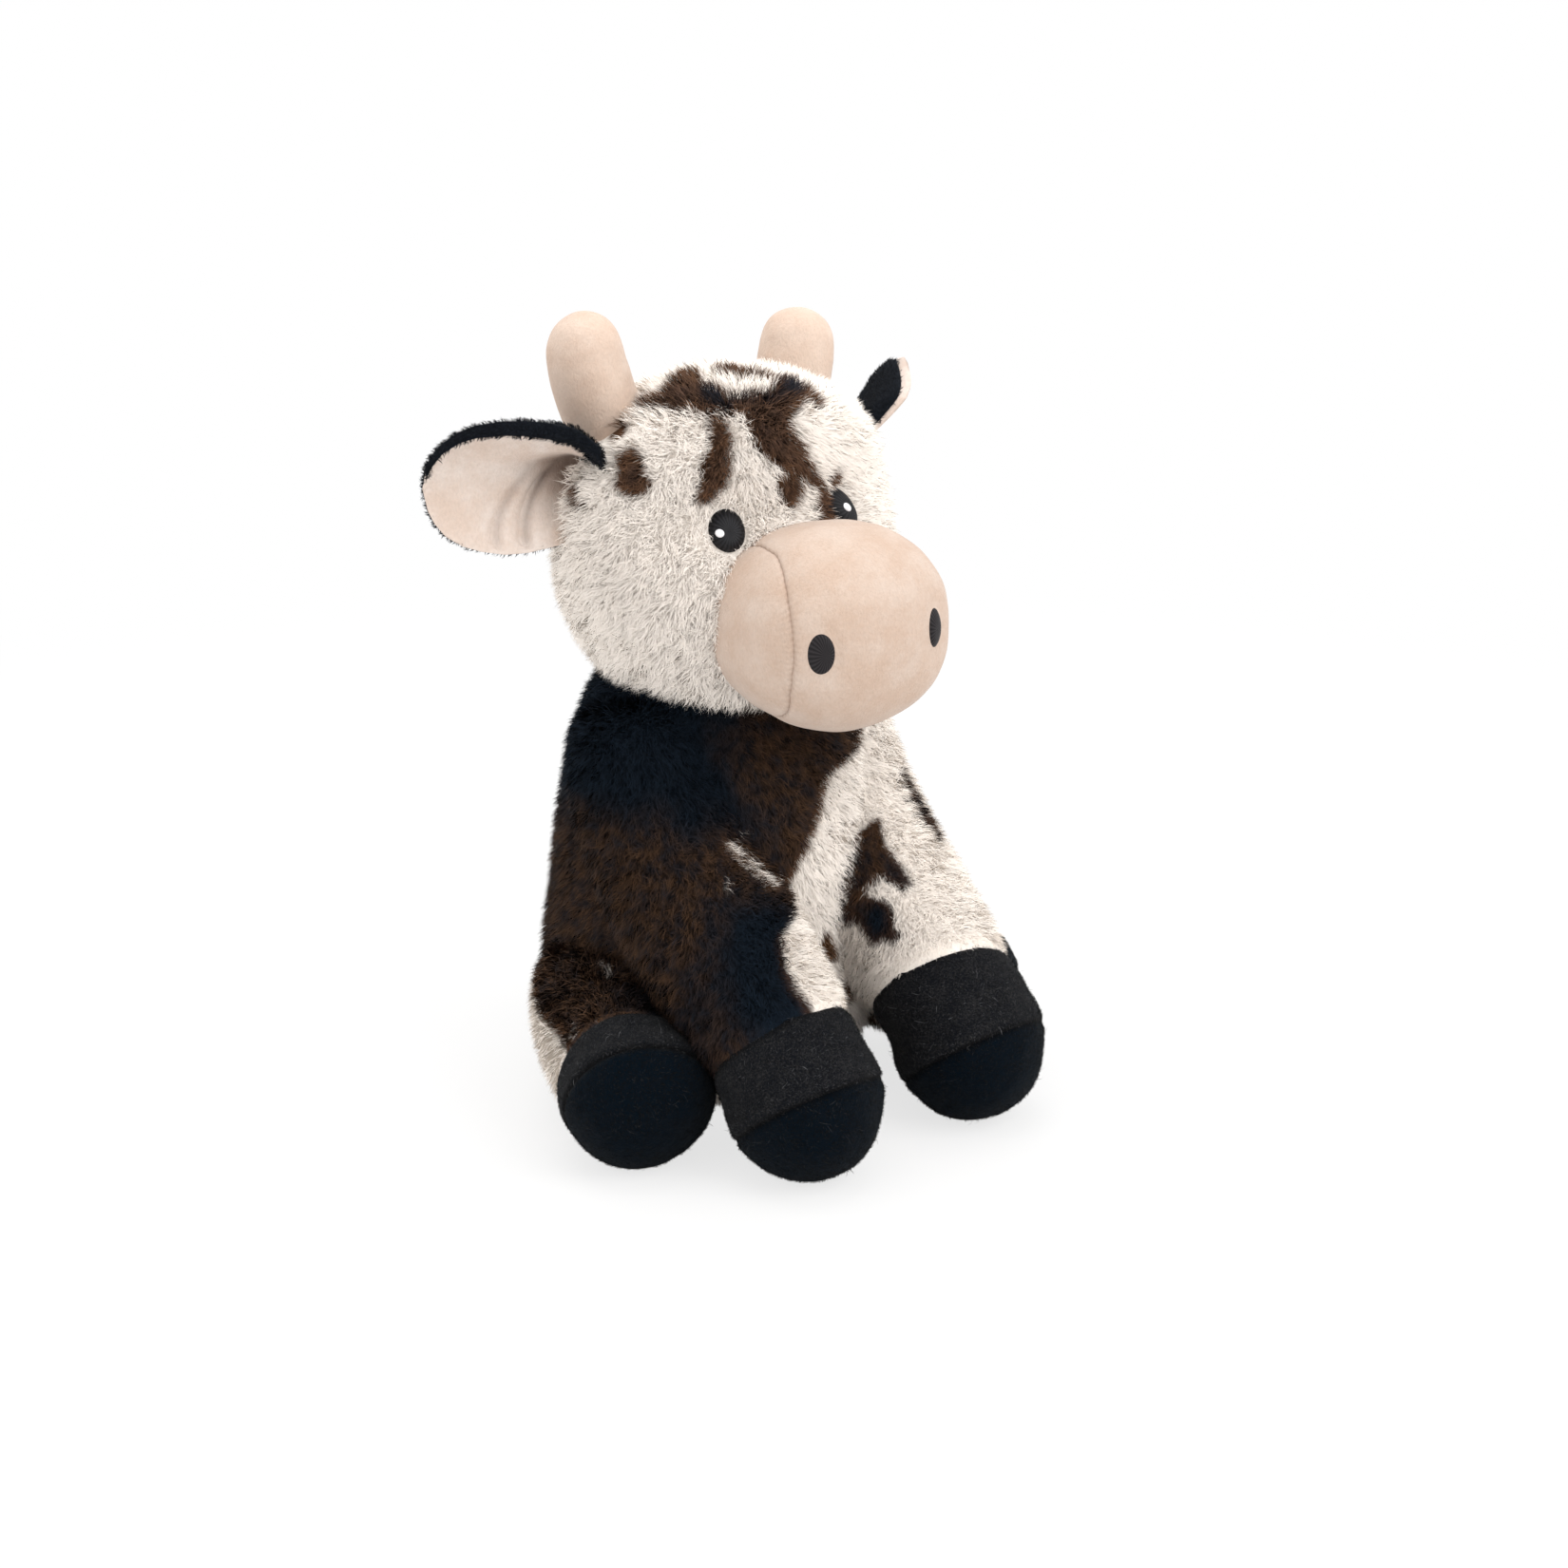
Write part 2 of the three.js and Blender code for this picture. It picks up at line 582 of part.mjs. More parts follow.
// An ear's middle surface: a leaf rolled about its length, rolled tightest at the root
function earSurface(side, raise) {
  const sweep = toRadians(EAR_SWEEP_BACK);
  const lift = toRadians(raise);
  const along = new THREE.Vector3(
    side * Math.cos(sweep) * Math.cos(lift), Math.sin(sweep) * Math.cos(lift), Math.sin(lift),
  );
  const level = new THREE.Vector3().crossVectors(UP, along).normalize().multiplyScalar(-side);
  const facing = level.applyAxisAngle(along, side * toRadians(EAR_FACE_DOWN));
  const upward = new THREE.Vector3().crossVectors(facing, along).multiplyScalar(-side).normalize();
  const pivot = new THREE.Vector3(side * EAR_ROOT_X, EAR_ROOT_Y, EAR_ROOT_Z);
  const root = pivot.clone().addScaledVector(along, -EAR_ROOT_RADIUS);
  const place = (s, t) => {
    const step = s * (earWidthShares.length - 1);
    const low = Math.min(Math.floor(step), earWidthShares.length - 2);
    const widthShare = THREE.MathUtils.lerp(earWidthShares[low], earWidthShares[low + 1], step - low);
    const width = EAR_HALF_WIDTH * widthShare;
    const cup = toRadians(THREE.MathUtils.lerp(EAR_CUP_ROOT, EAR_CUP_TIP, s));
    const radius = width / Math.sin(cup);
    return root.clone()
      .addScaledVector(along, EAR_LENGTH * s)
      .addScaledVector(upward, radius * Math.sin(t * cup))
      .addScaledVector(facing, radius * (1 - Math.cos(t * cup)) - width * EAR_SETBACK_SHARE);
  };
  const step = 1 / (EAR_STEPS_ALONG * EAR_STEPS_ACROSS);
  const surface = (s, t) => {
    const du = place(Math.min(s + step, 1), t).sub(place(Math.max(s - step, 0), t));
    const dv = place(s, Math.min(t + step, 1)).sub(place(s, Math.max(t - step, -1)));
    const normal = new THREE.Vector3().crossVectors(du, dv).normalize();
    if (normal.dot(facing) < 0) normal.negate();
    return { point: place(s, t), normal };
  };
  return { surface, pivot, facing };
}
for (const [side, word, raise] of [
  [RIGHT, 'right', EAR_RAISE_RIGHT],
  [LEFT, 'left', EAR_RAISE_LEFT],
]) {
  const { surface, pivot, facing } = earSurface(side, raise);
  const clear = sweptBack(headClearance, pivot, facing, -EAR_FLOP, EAR_FLOP);
  const [back, inner] = [-VELOUR_WALL - seamHalfGap, VELOUR_WALL + seamHalfGap];
  addPiece(`ear_back_${word}`, sheet(surface, back, -seamHalfGap).subtract(clear), blackVelour);
  addPiece(`ear_inner_${word}`, sheet(surface, seamHalfGap, inner).subtract(clear), beigeVelour);
}

// A limb: plush sleeve, fleece hoof band and fleece sole over one filling, clear of what it swings past
function addLimb(prefix, word, limb) {
  const outside = grown(limb.form, 0).trimByPlane(floor, 0).subtract(limb.clear);
  const sleeve = outside.subtract(grown(limb.form, -PLUSH_WALL));
  const hoofLining = grown(limb.form, -FLEECE_WALL).trimByPlane(floor, FLEECE_WALL);
  const seam = limb.spine.getPointAt(limb.seamShare);
  const seamFacing = limb.spine.getTangentAt(limb.seamShare);
  const sole = limb.spine.getPointAt(limb.soleShare);
  const hoof = past(outside.subtract(hoofLining), seam, seamFacing, seamHalfGap);
  addPiece(`${prefix}_cover_${word}`, before(sleeve, seam, seamFacing, seamHalfGap), limb.plush);
  addPiece(`${prefix}_hoof_band_${word}`, before(hoof, sole, limb.soleFacing, seamHalfGap), blackFleece);
  addPiece(`${prefix}_hoof_sole_${word}`, past(hoof, sole, limb.soleFacing, seamHalfGap), blackFleece);
  addPiece(
    `${prefix}_filling_${word}`,
    grown(limb.form, -PLUSH_WALL - SEWN_GAP).trimByPlane(floor, fillingFloor).subtract(limb.clear),
    polyesterFibre,
  );
}

// The way a sole faces: tipped up from straight down, and turned out from straight ahead
function soleDirection(side, tilt, turn) {
  const [tip, out] = [toRadians(tilt), toRadians(turn)];
  return new THREE.Vector3(
    side * Math.sin(tip) * Math.sin(out), -Math.sin(tip) * Math.cos(out), -Math.cos(tip),
  );
}

for (const [side, word] of [[RIGHT, 'right'], [LEFT, 'left']]) {
  const plush = side === RIGHT ? brownPlush : creamPlush;
  const foreHoofX = side === RIGHT ? FORE_HOOF_X_RIGHT : FORE_HOOF_X_LEFT;
  const foreSpine = new THREE.CatmullRomCurve3(forelegPathShares.map(
    ([reach, drop]) => new THREE.Vector3(
      side * THREE.MathUtils.lerp(SHOULDER_X, foreHoofX, drop),
      THREE.MathUtils.lerp(SHOULDER_Y, -FORE_HOOF_REACH, reach),
      THREE.MathUtils.lerp(SHOULDER_Z, FORE_HOOF_END_Z, drop),
    ),
  ));
  const foreForm = stuffedForm(
    foreSpine, SIDEWAYS, FORELEG_RADIUS, FORELEG_RADIUS, forelegSectionShares, LIMB_SIDES,
  );
  // A foreleg lifts forwards about a level line behind the shoulder
  const shoulder = new THREE.Vector3(0, FORELEG_PIVOT_Y, FORELEG_PIVOT_Z);
  const liftAxis = SIDEWAYS.clone().negate();
  addLimb('foreleg', word, {
    form: foreForm,
    spine: foreSpine,
    clear: sweptBack(torsoClearance.add(headSocket), shoulder, liftAxis, 0, FORELEG_LIFT)
      .add(headSweep),
    seamShare: FORE_SEAM_SHARE,
    soleShare: FORE_SOLE_SHARE,
    soleFacing: soleDirection(side, FORE_SOLE_TILT, 0),
    plush,
  });

  const hip = new THREE.Vector3(side * HIP_X, HIP_Y, HIP_Z);
  const hoofEnd = new THREE.Vector3(side * HIND_HOOF_END_X, HIND_HOOF_END_Y, HIND_HOOF_END_Z);
  const hindSpine = new THREE.CatmullRomCurve3(hindlegPathShares.map(
    ([out, forth, down]) => new THREE.Vector3(
      THREE.MathUtils.lerp(hip.x, hoofEnd.x, out),
      THREE.MathUtils.lerp(hip.y, hoofEnd.y, forth),
      THREE.MathUtils.lerp(hip.z, hoofEnd.z, down),
    ),
  ));
  // A hind leg splays outwards about the upright line through its hip
  const splayAxis = UP.clone().multiplyScalar(side);
  addLimb('hindleg', word, {
    form: stuffedForm(hindSpine, UP, HINDLEG_RADIUS, HINDLEG_RADIUS, hindlegSectionShares, LIMB_SIDES),
    spine: hindSpine,
    clear: sweptBack(torsoClearance, hip, splayAxis, 0, HINDLEG_SPLAY).add(grown(foreForm, SEWN_GAP)),
    seamShare: HIND_SEAM_SHARE,
    soleShare: HIND_SOLE_SHARE,
    soleFacing: soleDirection(side, HIND_SOLE_TILT, HIND_SOLE_TURN),
    plush,
  });
}

// Tail
const tailRoot = new THREE.Vector3(0, TAIL_ROOT_Y, TAIL_ROOT_Z);
const tailEnd = new THREE.Vector3(0, TAIL_END_Y, TAIL_END_Z);
const tailMiddle = tailRoot.clone().add(tailEnd).divideScalar(2);
tailMiddle.y += TAIL_BOW_SHARE * tailRoot.distanceTo(tailEnd);
const tailSpine = new THREE.CatmullRomCurve3([tailRoot, tailMiddle, tailEnd]);
const tailForm = stuffedForm(
  tailSpine, SIDEWAYS, TAIL_RADIUS, TAIL_RADIUS, tailSectionShares, HORN_SIDES,
);
// The tail's sewn end is square to the line it swings about
const tailSolid = past(grown(tailForm, 0), new THREE.Vector3(0, TAIL_FACE_Y, 0), BACKWARDS, 0);
const tuftSeam = tailSpine.getPointAt(TUFT_SEAM_SHARE);
const tuftFacing = tailSpine.getTangentAt(TUFT_SEAM_SHARE);
addPiece('tail_cord', before(tailSolid, tuftSeam, tuftFacing, seamHalfGap), creamPlush);
addPiece('tail_tuft', past(tailSolid, tuftSeam, tuftFacing, seamHalfGap), brownPlush);

export default cow;
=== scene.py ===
"""Sitting plush cow with long spotted pile, a velour muzzle, soft horns and fleece hooves.

Every form is worked out in millimetres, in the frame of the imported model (+Z up, the cow faces
-Y and its right side is -X), and becomes metres when its mesh is made.
"""

import math
from functools import cached_property
from itertools import product

import bpy
import numpy as np
from bpy.props import FloatProperty, FloatVectorProperty, PointerProperty
from mathutils import Matrix


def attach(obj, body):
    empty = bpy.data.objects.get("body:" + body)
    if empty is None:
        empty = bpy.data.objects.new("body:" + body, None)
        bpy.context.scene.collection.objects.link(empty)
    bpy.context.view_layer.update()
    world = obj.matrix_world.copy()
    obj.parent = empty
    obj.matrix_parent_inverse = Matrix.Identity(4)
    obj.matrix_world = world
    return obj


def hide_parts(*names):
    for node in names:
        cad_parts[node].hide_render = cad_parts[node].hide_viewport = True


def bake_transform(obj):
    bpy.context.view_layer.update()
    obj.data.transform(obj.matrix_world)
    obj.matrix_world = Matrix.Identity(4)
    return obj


bl_info = {
    "name": "Plush Cow",
    "version": (1, 0, 0),
    "blender": (4, 5, 0),
    "location": "3D View > Sidebar > Plush Cow",
    "description": "Builds a sitting plush cow round its packed frame",
    "category": "Object",
}

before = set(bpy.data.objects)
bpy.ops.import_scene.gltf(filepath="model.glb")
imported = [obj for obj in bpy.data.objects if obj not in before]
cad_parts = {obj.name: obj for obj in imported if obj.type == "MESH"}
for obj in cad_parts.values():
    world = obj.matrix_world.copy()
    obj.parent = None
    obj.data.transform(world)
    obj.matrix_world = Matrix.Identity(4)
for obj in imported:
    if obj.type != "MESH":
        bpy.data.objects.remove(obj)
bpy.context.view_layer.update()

MM = 0.001
RIGHT, LEFT = -1, 1
SIDES = (RIGHT, LEFT)
WORDS = {RIGHT: "right", LEFT: "left"}
SIDEWAYS = np.array([1.0, 0.0, 0.0])
BACKWARDS = np.array([0.0, 1.0, 0.0])
UP = np.array([0.0, 0.0, 1.0])

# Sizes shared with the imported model, in millimetres
TORSO_HEIGHT, TORSO_HALF_WIDTH, TORSO_HALF_DEPTH = 180.0, 60.0, 61.0
TORSO_SEAT_Y, TORSO_LEAN = 6.0, 14.0
HEAD_HALF_WIDTH, HEAD_HALF_DEPTH, HEAD_HEIGHT = 67.0, 52.0, 125.0
HEAD_Y, CHIN_Z, BROW_SETBACK = -9.0, 143.5, 4.0
MUZZLE_HALF_WIDTH, MUZZLE_HALF_HEIGHT, MUZZLE_DROOP = 41.0, 35.0, 4.9
MUZZLE_FRONT_DEPTH, MUZZLE_BACK_DEPTH = 36.5, 44.0
MUZZLE_CENTRE = np.array([0.0, -66.5, 186.2])
MUZZLE_SQUARENESS, MUZZLE_SIDE_SQUARENESS, MUZZLE_SIZE = 2.1, 2.3, 36.0
HORN_RADIUS, HORN_BASE_X, HORN_BASE_Z, HORN_Y = 14.0, 38.0, 242.5, 6.0
HORN_TIPS = {RIGHT: (53.0, 290.5), LEFT: (47.0, 284.0)}
EAR_ROOT, EAR_HALF_WIDTH, EAR_FACE_DOWN = np.array([58.0, 0.0, 236.5]), 24.0, 12.0
# The two ears lie differently: their lengths, how far the root reaches in from the pivot, the
# turns back and up in degrees, and the root's shift
EAR_LENGTHS, EAR_ROOT_RADIUS = {RIGHT: 67.0, LEFT: 50.0}, {RIGHT: 8.0, LEFT: 5.0}
EAR_SWEEPS, EAR_RAISES = {RIGHT: 20.0, LEFT: 35.0}, {RIGHT: -4.0, LEFT: 12.0}
EAR_SHIFTS = {RIGHT: np.array([1.5, -6.0, 0.8]), LEFT: np.array([7.0, -6.0, -6.0])}
# Their folds: how far the upper flap is drawn in at the root, how far the hood over the root
# stands out, and the share of its width to which the shell's upper edge opens
EAR_FLAPS, EAR_HOODS = {RIGHT: -7.0, LEFT: -3.0}, {RIGHT: 6.5, LEFT: 0.0}
EAR_OPENS = {RIGHT: 1.04, LEFT: 0.88}
SHOULDER = np.array([38.0, -6.0, 156.5])
FORELEG_RADIUS = 30.0
FORE_HOOF_X = {RIGHT: 37.0, LEFT: 43.0}
FORE_HOOF_REACH, FORE_HOOF_END_Z = 101.0, -0.5
HIP = np.array([37.0, 24.0, 40.0])
HINDLEG_RADIUS = 27.0
HIND_HOOF_END = np.array([83.0, -73.0, 20.5])
TAIL_ROOT, TAIL_END = np.array([0.0, 64.0, 62.0]), np.array([0.0, 78.0, 8.0])
TAIL_RADIUS, TAIL_BOW_SHARE = 4.5, 0.12

# Sections from end to end: share of the length, of the half width and of the half depth
TORSO_SHARES = (
    (0, 0, 0), (0.002, 0.58, 0.56), (0.035, 0.84, 0.82), (0.11, 0.98, 0.97), (0.24, 1.04, 1.03),
    (0.4, 1, 1), (0.55, 0.97, 0.97), (0.69, 0.93, 0.88), (0.81, 0.88, 0.74), (0.91, 0.73, 0.57),
    (0.97, 0.48, 0.38), (1, 0, 0),
)
HEAD_SHARES = (
    (0, 0, 0), (0.035, 0.35, 0.45), (0.12, 0.65, 0.84), (0.23, 0.8, 1.03), (0.36, 0.92, 1.07),
    (0.5, 0.99, 0.96), (0.64, 1.01, 0.75), (0.77, 0.94, 0.74), (0.88, 0.74, 0.69),
    (0.96, 0.44, 0.45), (1, 0, 0),
)
FORELEG_SHARES = (
    (0, 0, 0), (0.02, 0.6, 0.65), (0.07, 0.84, 0.92), (0.17, 0.96, 1.02), (0.35, 1, 1.05),
    (0.52, 0.99, 1.03), (0.66, 0.92, 0.95), (0.76, 0.88, 0.9), (0.86, 0.91, 0.91),
    (0.93, 0.76, 0.76), (0.98, 0.46, 0.46), (1, 0, 0),
)
HINDLEG_SHARES = (
    (0, 0, 0), (0.015, 0.5, 0.5), (0.09, 0.84, 0.84), (0.24, 0.95, 0.95), (0.42, 0.98, 0.98),
    (0.6, 0.94, 0.94), (0.74, 0.97, 0.97), (0.85, 0.95, 0.95), (0.93, 0.78, 0.78),
    (0.98, 0.46, 0.46), (1, 0, 0),
)
HORN_SHARES = (
    (0, 0, 0), (0.05, 0.98, 1), (0.35, 1, 1.02), (0.62, 0.99, 1), (0.82, 0.88, 0.9),
    (0.94, 0.58, 0.6), (1, 0, 0),
)
TAIL_SHARES = (
    (0, 0, 0), (0.02, 0.7, 0.7), (0.07, 1, 1), (0.4, 0.9, 0.9), (0.62, 0.9, 0.9),
    (0.72, 1.5, 1.5), (0.84, 2.1, 1.9), (0.94, 1.5, 1.4), (1, 0, 0),
)
FORELEG_PATH_SHARES = (
    (0, 0), (0.06, 0.22), (0.26, 0.42), (0.52, 0.57), (0.76, 0.69), (0.93, 0.81), (1, 1),
)
HINDLEG_PATH_SHARES = ((0, 0, 0), (0.35, 0.25, 0.1), (0.72, 0.6, 0.5), (1, 1, 1))
# Share of the length, and the shares of the half width above and below the middle
EAR_WIDTH_SHARES = {
    RIGHT: (
        (0, 0.35, 0.35), (0.04, 0.58, 0.66), (0.1, 0.7, 0.84), (0.2, 0.84, 0.92),
        (0.29, 0.93, 0.98), (0.4, 1.01, 1.02), (0.5, 1.05, 1.05), (0.62, 1.04, 1.04),
        (0.74, 0.98, 0.96), (0.83, 0.87, 0.86), (0.91, 0.68, 0.7), (0.96, 0.46, 0.5),
        (0.985, 0.28, 0.32), (1, 0, 0),
    ),
    LEFT: (
        (0, 0.34, 0.3), (0.125, 0.66, 0.6), (0.25, 0.92, 0.85), (0.375, 1.05, 1), (0.5, 1.12, 1.08),
        (0.625, 1.16, 1.1), (0.75, 1.14, 1.06), (0.875, 1, 0.9), (0.95, 0.76, 0.66),
        (0.985, 0.45, 0.4), (1, 0, 0),
    ),
}
# Where the hooves' and the tuft's seams lie along their lengths, and how far in degrees each
# sole is tilted up and turned out
FORE_SEAM_SHARE, FORE_SOLE_SHARE = 0.74, 0.875
HIND_SEAM_SHARE, HIND_SOLE_SHARE = 0.66, 0.83
TUFT_SEAM_SHARE = 0.64
FORE_SOLE_TURNS, HIND_SOLE_TURNS = (38, 0), (68, 27)
# A crease in the left horn: its middle, and how far it reaches each way
HORN_CREASE, HORN_CREASE_SIZE = np.array([38.0, -7.0, 262.0]), np.array([3.0, 6.0, 1.0])

# Spots in the pile: chains of places, each with the spot's half width there
HEAD_SPOTS = (
    ((-7.3, -37.6, 257.9, 4.4), (-8.7, -40.9, 255.2, 6.4), (-7.6, -42.1, 251.8, 7.4),
     (-4.4, -43.4, 246.3, 6.9), (0.9, -44.6, 240.9, 5.3), (6.4, -45.0, 236.0, 3.0),
     (11.2, -45.1, 231.7, 1.5), (14.2, -44.8, 229.3, 0.8)),
    ((-20.0, -23.1, 264.0, 2.5), (-20.1, -27.0, 261.9, 3.4), (-19.0, -30.9, 260.0, 3.4),
     (-13.6, -34.1, 259.2, 3.7), (-6.4, -36.4, 258.8, 4.1), (2.5, -36.9, 258.5, 3.9),
     (9.6, -32.6, 260.8, 3.4), (15.6, -28.1, 262.6, 2.7), (11.7, -27.7, 263.9, 1.8)),
    ((14.4, -29.5, 262.2, 2.7), (16.0, -32.8, 259.7, 2.7), (18.1, -35.1, 257.8, 1.6)),
    ((-37.4, -11.7, 259.3, 1.9), (-35.2, -14.4, 260.1, 2.7), (-32.1, -16.9, 261.0, 3.7),
     (-29.0, -18.8, 262.0, 4.6), (-23.3, -13.5, 264.5, 3.9), (-13.9, -3.9, 266.0, 1.4)),
    ((-30.8, -21.0, 260.5, 3.5), (-26.2, -23.0, 261.6, 1.9), (-25.4, -28.8, 259.3, 2.5),
     (-21.8, -27.4, 261.2, 2.2)),
    ((-1.8, -10.0, 267.6, 1.4), (-2.5, -17.2, 266.5, 2.3), (1.2, -19.2, 266.2, 2.3),
     (5.8, -20.6, 265.8, 1.6)),
    ((-26.0, -37.0, 252.8, 2.6), (-26.0, -38.6, 249.0, 3.6), (-27.3, -39.7, 244.9, 3.3),
     (-29.4, -40.3, 240.8, 4.2), (-31.1, -40.3, 236.6, 4.0), (-33.1, -39.9, 233.2, 3.1),
     (-35.3, -39.5, 230.1, 1.4)),
    ((-52.0, -21.4, 246.3, 1.2), (-53.6, -23.0, 243.4, 3.3), (-54.8, -25.0, 240.3, 4.5),
     (-55.4, -25.6, 237.2, 5.1)),
    ((-56.5, -24.5, 236.3, 3.7), (-54.3, -27.3, 236.5, 3.7)),
    ((-48.9, -7.5, 253.8, 1.6), (-51.0, -10.3, 251.4, 2.3)),
    ((-3.4, -45.4, 232.1, 2.9), (-0.7, -45.6, 229.8, 4.3), (-0.9, -45.8, 227.1, 2.3)),
    ((13.9, -45.1, 226.7, 2.3), (14.5, -46.5, 223.4, 3.6), (13.0, -49.1, 220.0, 3.4)),
    ((21.2, -43.4, 230.5, 2.0), (22.2, -43.0, 230.0, 1.8)),
    ((-65.2, -7.2, 232.0, 1.6), (-66.0, -8.2, 228.6, 1.4)),
)
HEAD_BLACKS = (
    ((-19.9, -22.2, 264.4, 2.3), (-20.6, -27.0, 261.7, 3.0), (-20.2, -31.1, 259.6, 2.3)),
    ((11.7, -27.7, 263.9, 1.8), (10.5, -30.9, 261.9, 3.6), (15.5, -28.5, 262.4, 3.1)),
    ((-13.2, -30.9, 261.5, 1.3), (-5.7, -32.9, 261.3, 1.3), (3.1, -33.5, 261.0, 1.6)),
)
FAR_LEG_SPOTS = (
    ((29.3, -57.4, 104.2, 1.8), (25.6, -59.6, 99.7, 4.8), (23.0, -60.5, 95.8, 7.0),
     (20.5, -60.5, 91.5, 8.0)),
    ((20.5, -60.5, 91.5, 8.0), (15.0, -58.0, 86.7, 7.0), (12.5, -57.0, 80.6, 6.5),
     (11.5, -59.0, 74.0, 5.0)),
    ((24.8, -64.7, 93.5, 4.8), (26.9, -70.2, 89.8, 3.4), (28.9, -74.1, 86.7, 2.0)),
    ((14.4, -59.9, 79.9, 3.0), (15.3, -65.2, 77.5, 4.5), (16.8, -70.8, 74.7, 6.8),
     (16.4, -72.8, 72.1, 5.8), (16.0, -72.9, 68.5, 3.2)),
    ((18.3, -78.4, 68.8, 1.3), (19.4, -79.3, 69.6, 1.2)),
    ((53.5, -46.5, 115.6, 2.2), (55.0, -52.0, 108.4, 4.0), (55.0, -58.5, 102.1, 4.4),
     (55.5, -63.6, 96.4, 2.6)),
    ((72.0, -30.0, 92.0, 6.0), (70.0, -22.0, 104.0, 5.0)),
)
BELLY_SPOTS = (
    ((4.3, -58.6, 65.4, 2.2), (7.0, -58.1, 58.3, 2.8)),
    ((15.3, -56.7, 44.6, 2.4), (16.4, -56.5, 39.3, 2.4)),
    ((45.8, -35.4, 21.1, 2.2), (52.2, -33.9, 13.0, 2.2)),
    ((40.0, 52.0, 96.0, 7.0), (50.0, 42.0, 84.0, 10.0), (54.0, 38.0, 66.0, 7.0)),
    ((22.0, 64.0, 44.0, 5.0), (30.0, 60.0, 34.0, 6.0)),
    ((60.0, 10.0, 120.0, 5.0), (58.0, 20.0, 112.0, 6.0)),
)
HIND_SPOTS = (
    ((82.0, -20.0, 52.0, 6.0), (84.0, -32.0, 46.0, 8.0), (80.0, -40.0, 50.0, 5.0)),
    ((45.8, -35.4, 21.1, 2.2), (52.2, -33.9, 13.0, 2.2)),
)
# Small pale flecks in the dark pile
PALE_FLECKS = (
    ((-64.9, -15.1, 60.5, 1.3), (-65.8, -21.0, 59.9, 0.9)),
    ((-88.5, -32.2, 46.5, 0.9), (-90.8, -31.9, 44.2, 0.8)),
    ((-44.7, -63.0, 99.8, 0.6), (-45.0, -65.0, 97.6, 0.6)),
)
# Where the dark half of the body ends, from the seat up: height, then X on the chest
CHEST_EDGE = (
    (0, -30), (55, -30), (70, -24), (80, -19), (86.7, -14.9), (94, -9.5), (102.4, -3.6),
    (113.6, 2.8), (122.7, 7.5), (126.5, 11), (128.5, 24), (130.5, 36), (140, 44), (170, 44),
)
# Where the near foreleg's dark side ends, from the hoof up: height, then X
INNER_LEG_EDGE = (
    (0, -38), (56, -38), (64.8, -38.2), (69.4, -40), (74.7, -38.7), (79.7, -36.4), (83.5, -34.5),
    (85, -28), (86.5, -12), (94, -12), (95.3, -26.6), (100.7, -29.8), (106.4, -34), (111.0, -38),
    (112.0, -24), (116, -8), (150, 0),
)
# How wide the pale streak beside that edge is: height, then width
LEG_STREAK = ((0, 99), (94, 99), (94.5, 3.0), (101, 3.0), (108, 2.0), (112, 1.2))
# The muzzle's seams: the angle round its width, then how far out they run there
MUZZLE_SEAM = (
    (-180, 22), (-110, 24), (-88, 27), (-65, 30.5), (-45, 34), (-25, 35.3), (-4, 35.5), (11, 35.6),
    (29, 35.2), (46, 34.1), (61, 32.1), (76, 29.1), (88, 26.5), (100, 25.1), (112, 23.2), (140, 20),
    (180, 22),
)

# The photograph's viewpoint: its place in millimetres, its own axes, and its width and focal
# length in pixels
CAMERA_PLACE = (-588.98, -742.44, 410.56)
CAMERA_BACK = (-0.613037, -0.730590, 0.300706)
CAMERA_RIGHT = (0.766044, -0.642788, 0.0)
CAMERA_UP = (0.193290, 0.230354, 0.953717)
IMAGE_WIDTH_PX, FOCAL_LENGTH_PX = 1650, 2800
SENSOR_WIDTH = 36.0

# The stage: the point that the lamps face, in metres, the floor's rings, and white
LIGHT_AIM = np.array([0.0, -0.01, 0.15])
FLOOR_RADII = (0.0, 60.0, 150.0, 300.0, 600.0, 1500.0, 4000.0)
WHITE = (1.0, 1.0, 1.0, 1.0)

SEED = 7
STRANDS_PER_PIECE = 60000
POINTS_AT_ONCE = 20000
FAR_OFF = 99.0
# How far the cloth lies under the pile's middle, on the limbs and body and on the tail
SKIN_SINK, TAIL_SINK = 3.2, 1.5
# A strand's brightness at its root, middle and tip, for dark pile and what pale pile adds: painted
# shade at the root, and at the tip partly the dark pile's own paler tips, partly painted light
DARK_STEPS, PALE_STEPS = np.array([0.4, 0.8, 1.3]), np.array([0.46, 0.15, -0.28])
# The seven corners of a strand's two faces in its cell of the map
BLADE_UV = np.array([(0.1, 0.1), (0.9, 0.1), (0.8, 0.5), (0.2, 0.5), (0.2, 0.5), (0.8, 0.5), (0.5, 0.9)])
FUZZ_COLOUR = (0.0055, 0.0056, 0.006)


def unit(vectors):
    """Each vector divided by its length."""
    return vectors / np.maximum(np.linalg.norm(vectors, axis=-1, keepdims=True), 1e-12)


def ease(value, low, high):
    """0 below low, 1 above high, and the smooth step 3t2 - 2t3 between."""
    t = np.clip((value - low) / (high - low), 0, 1)
    return t * t * (3 - 2 * t)


def bell(value, width):
    """exp(-(value / width)^2): 1 at zero, and less to either side."""
    return np.exp(-(value / width) ** 2)


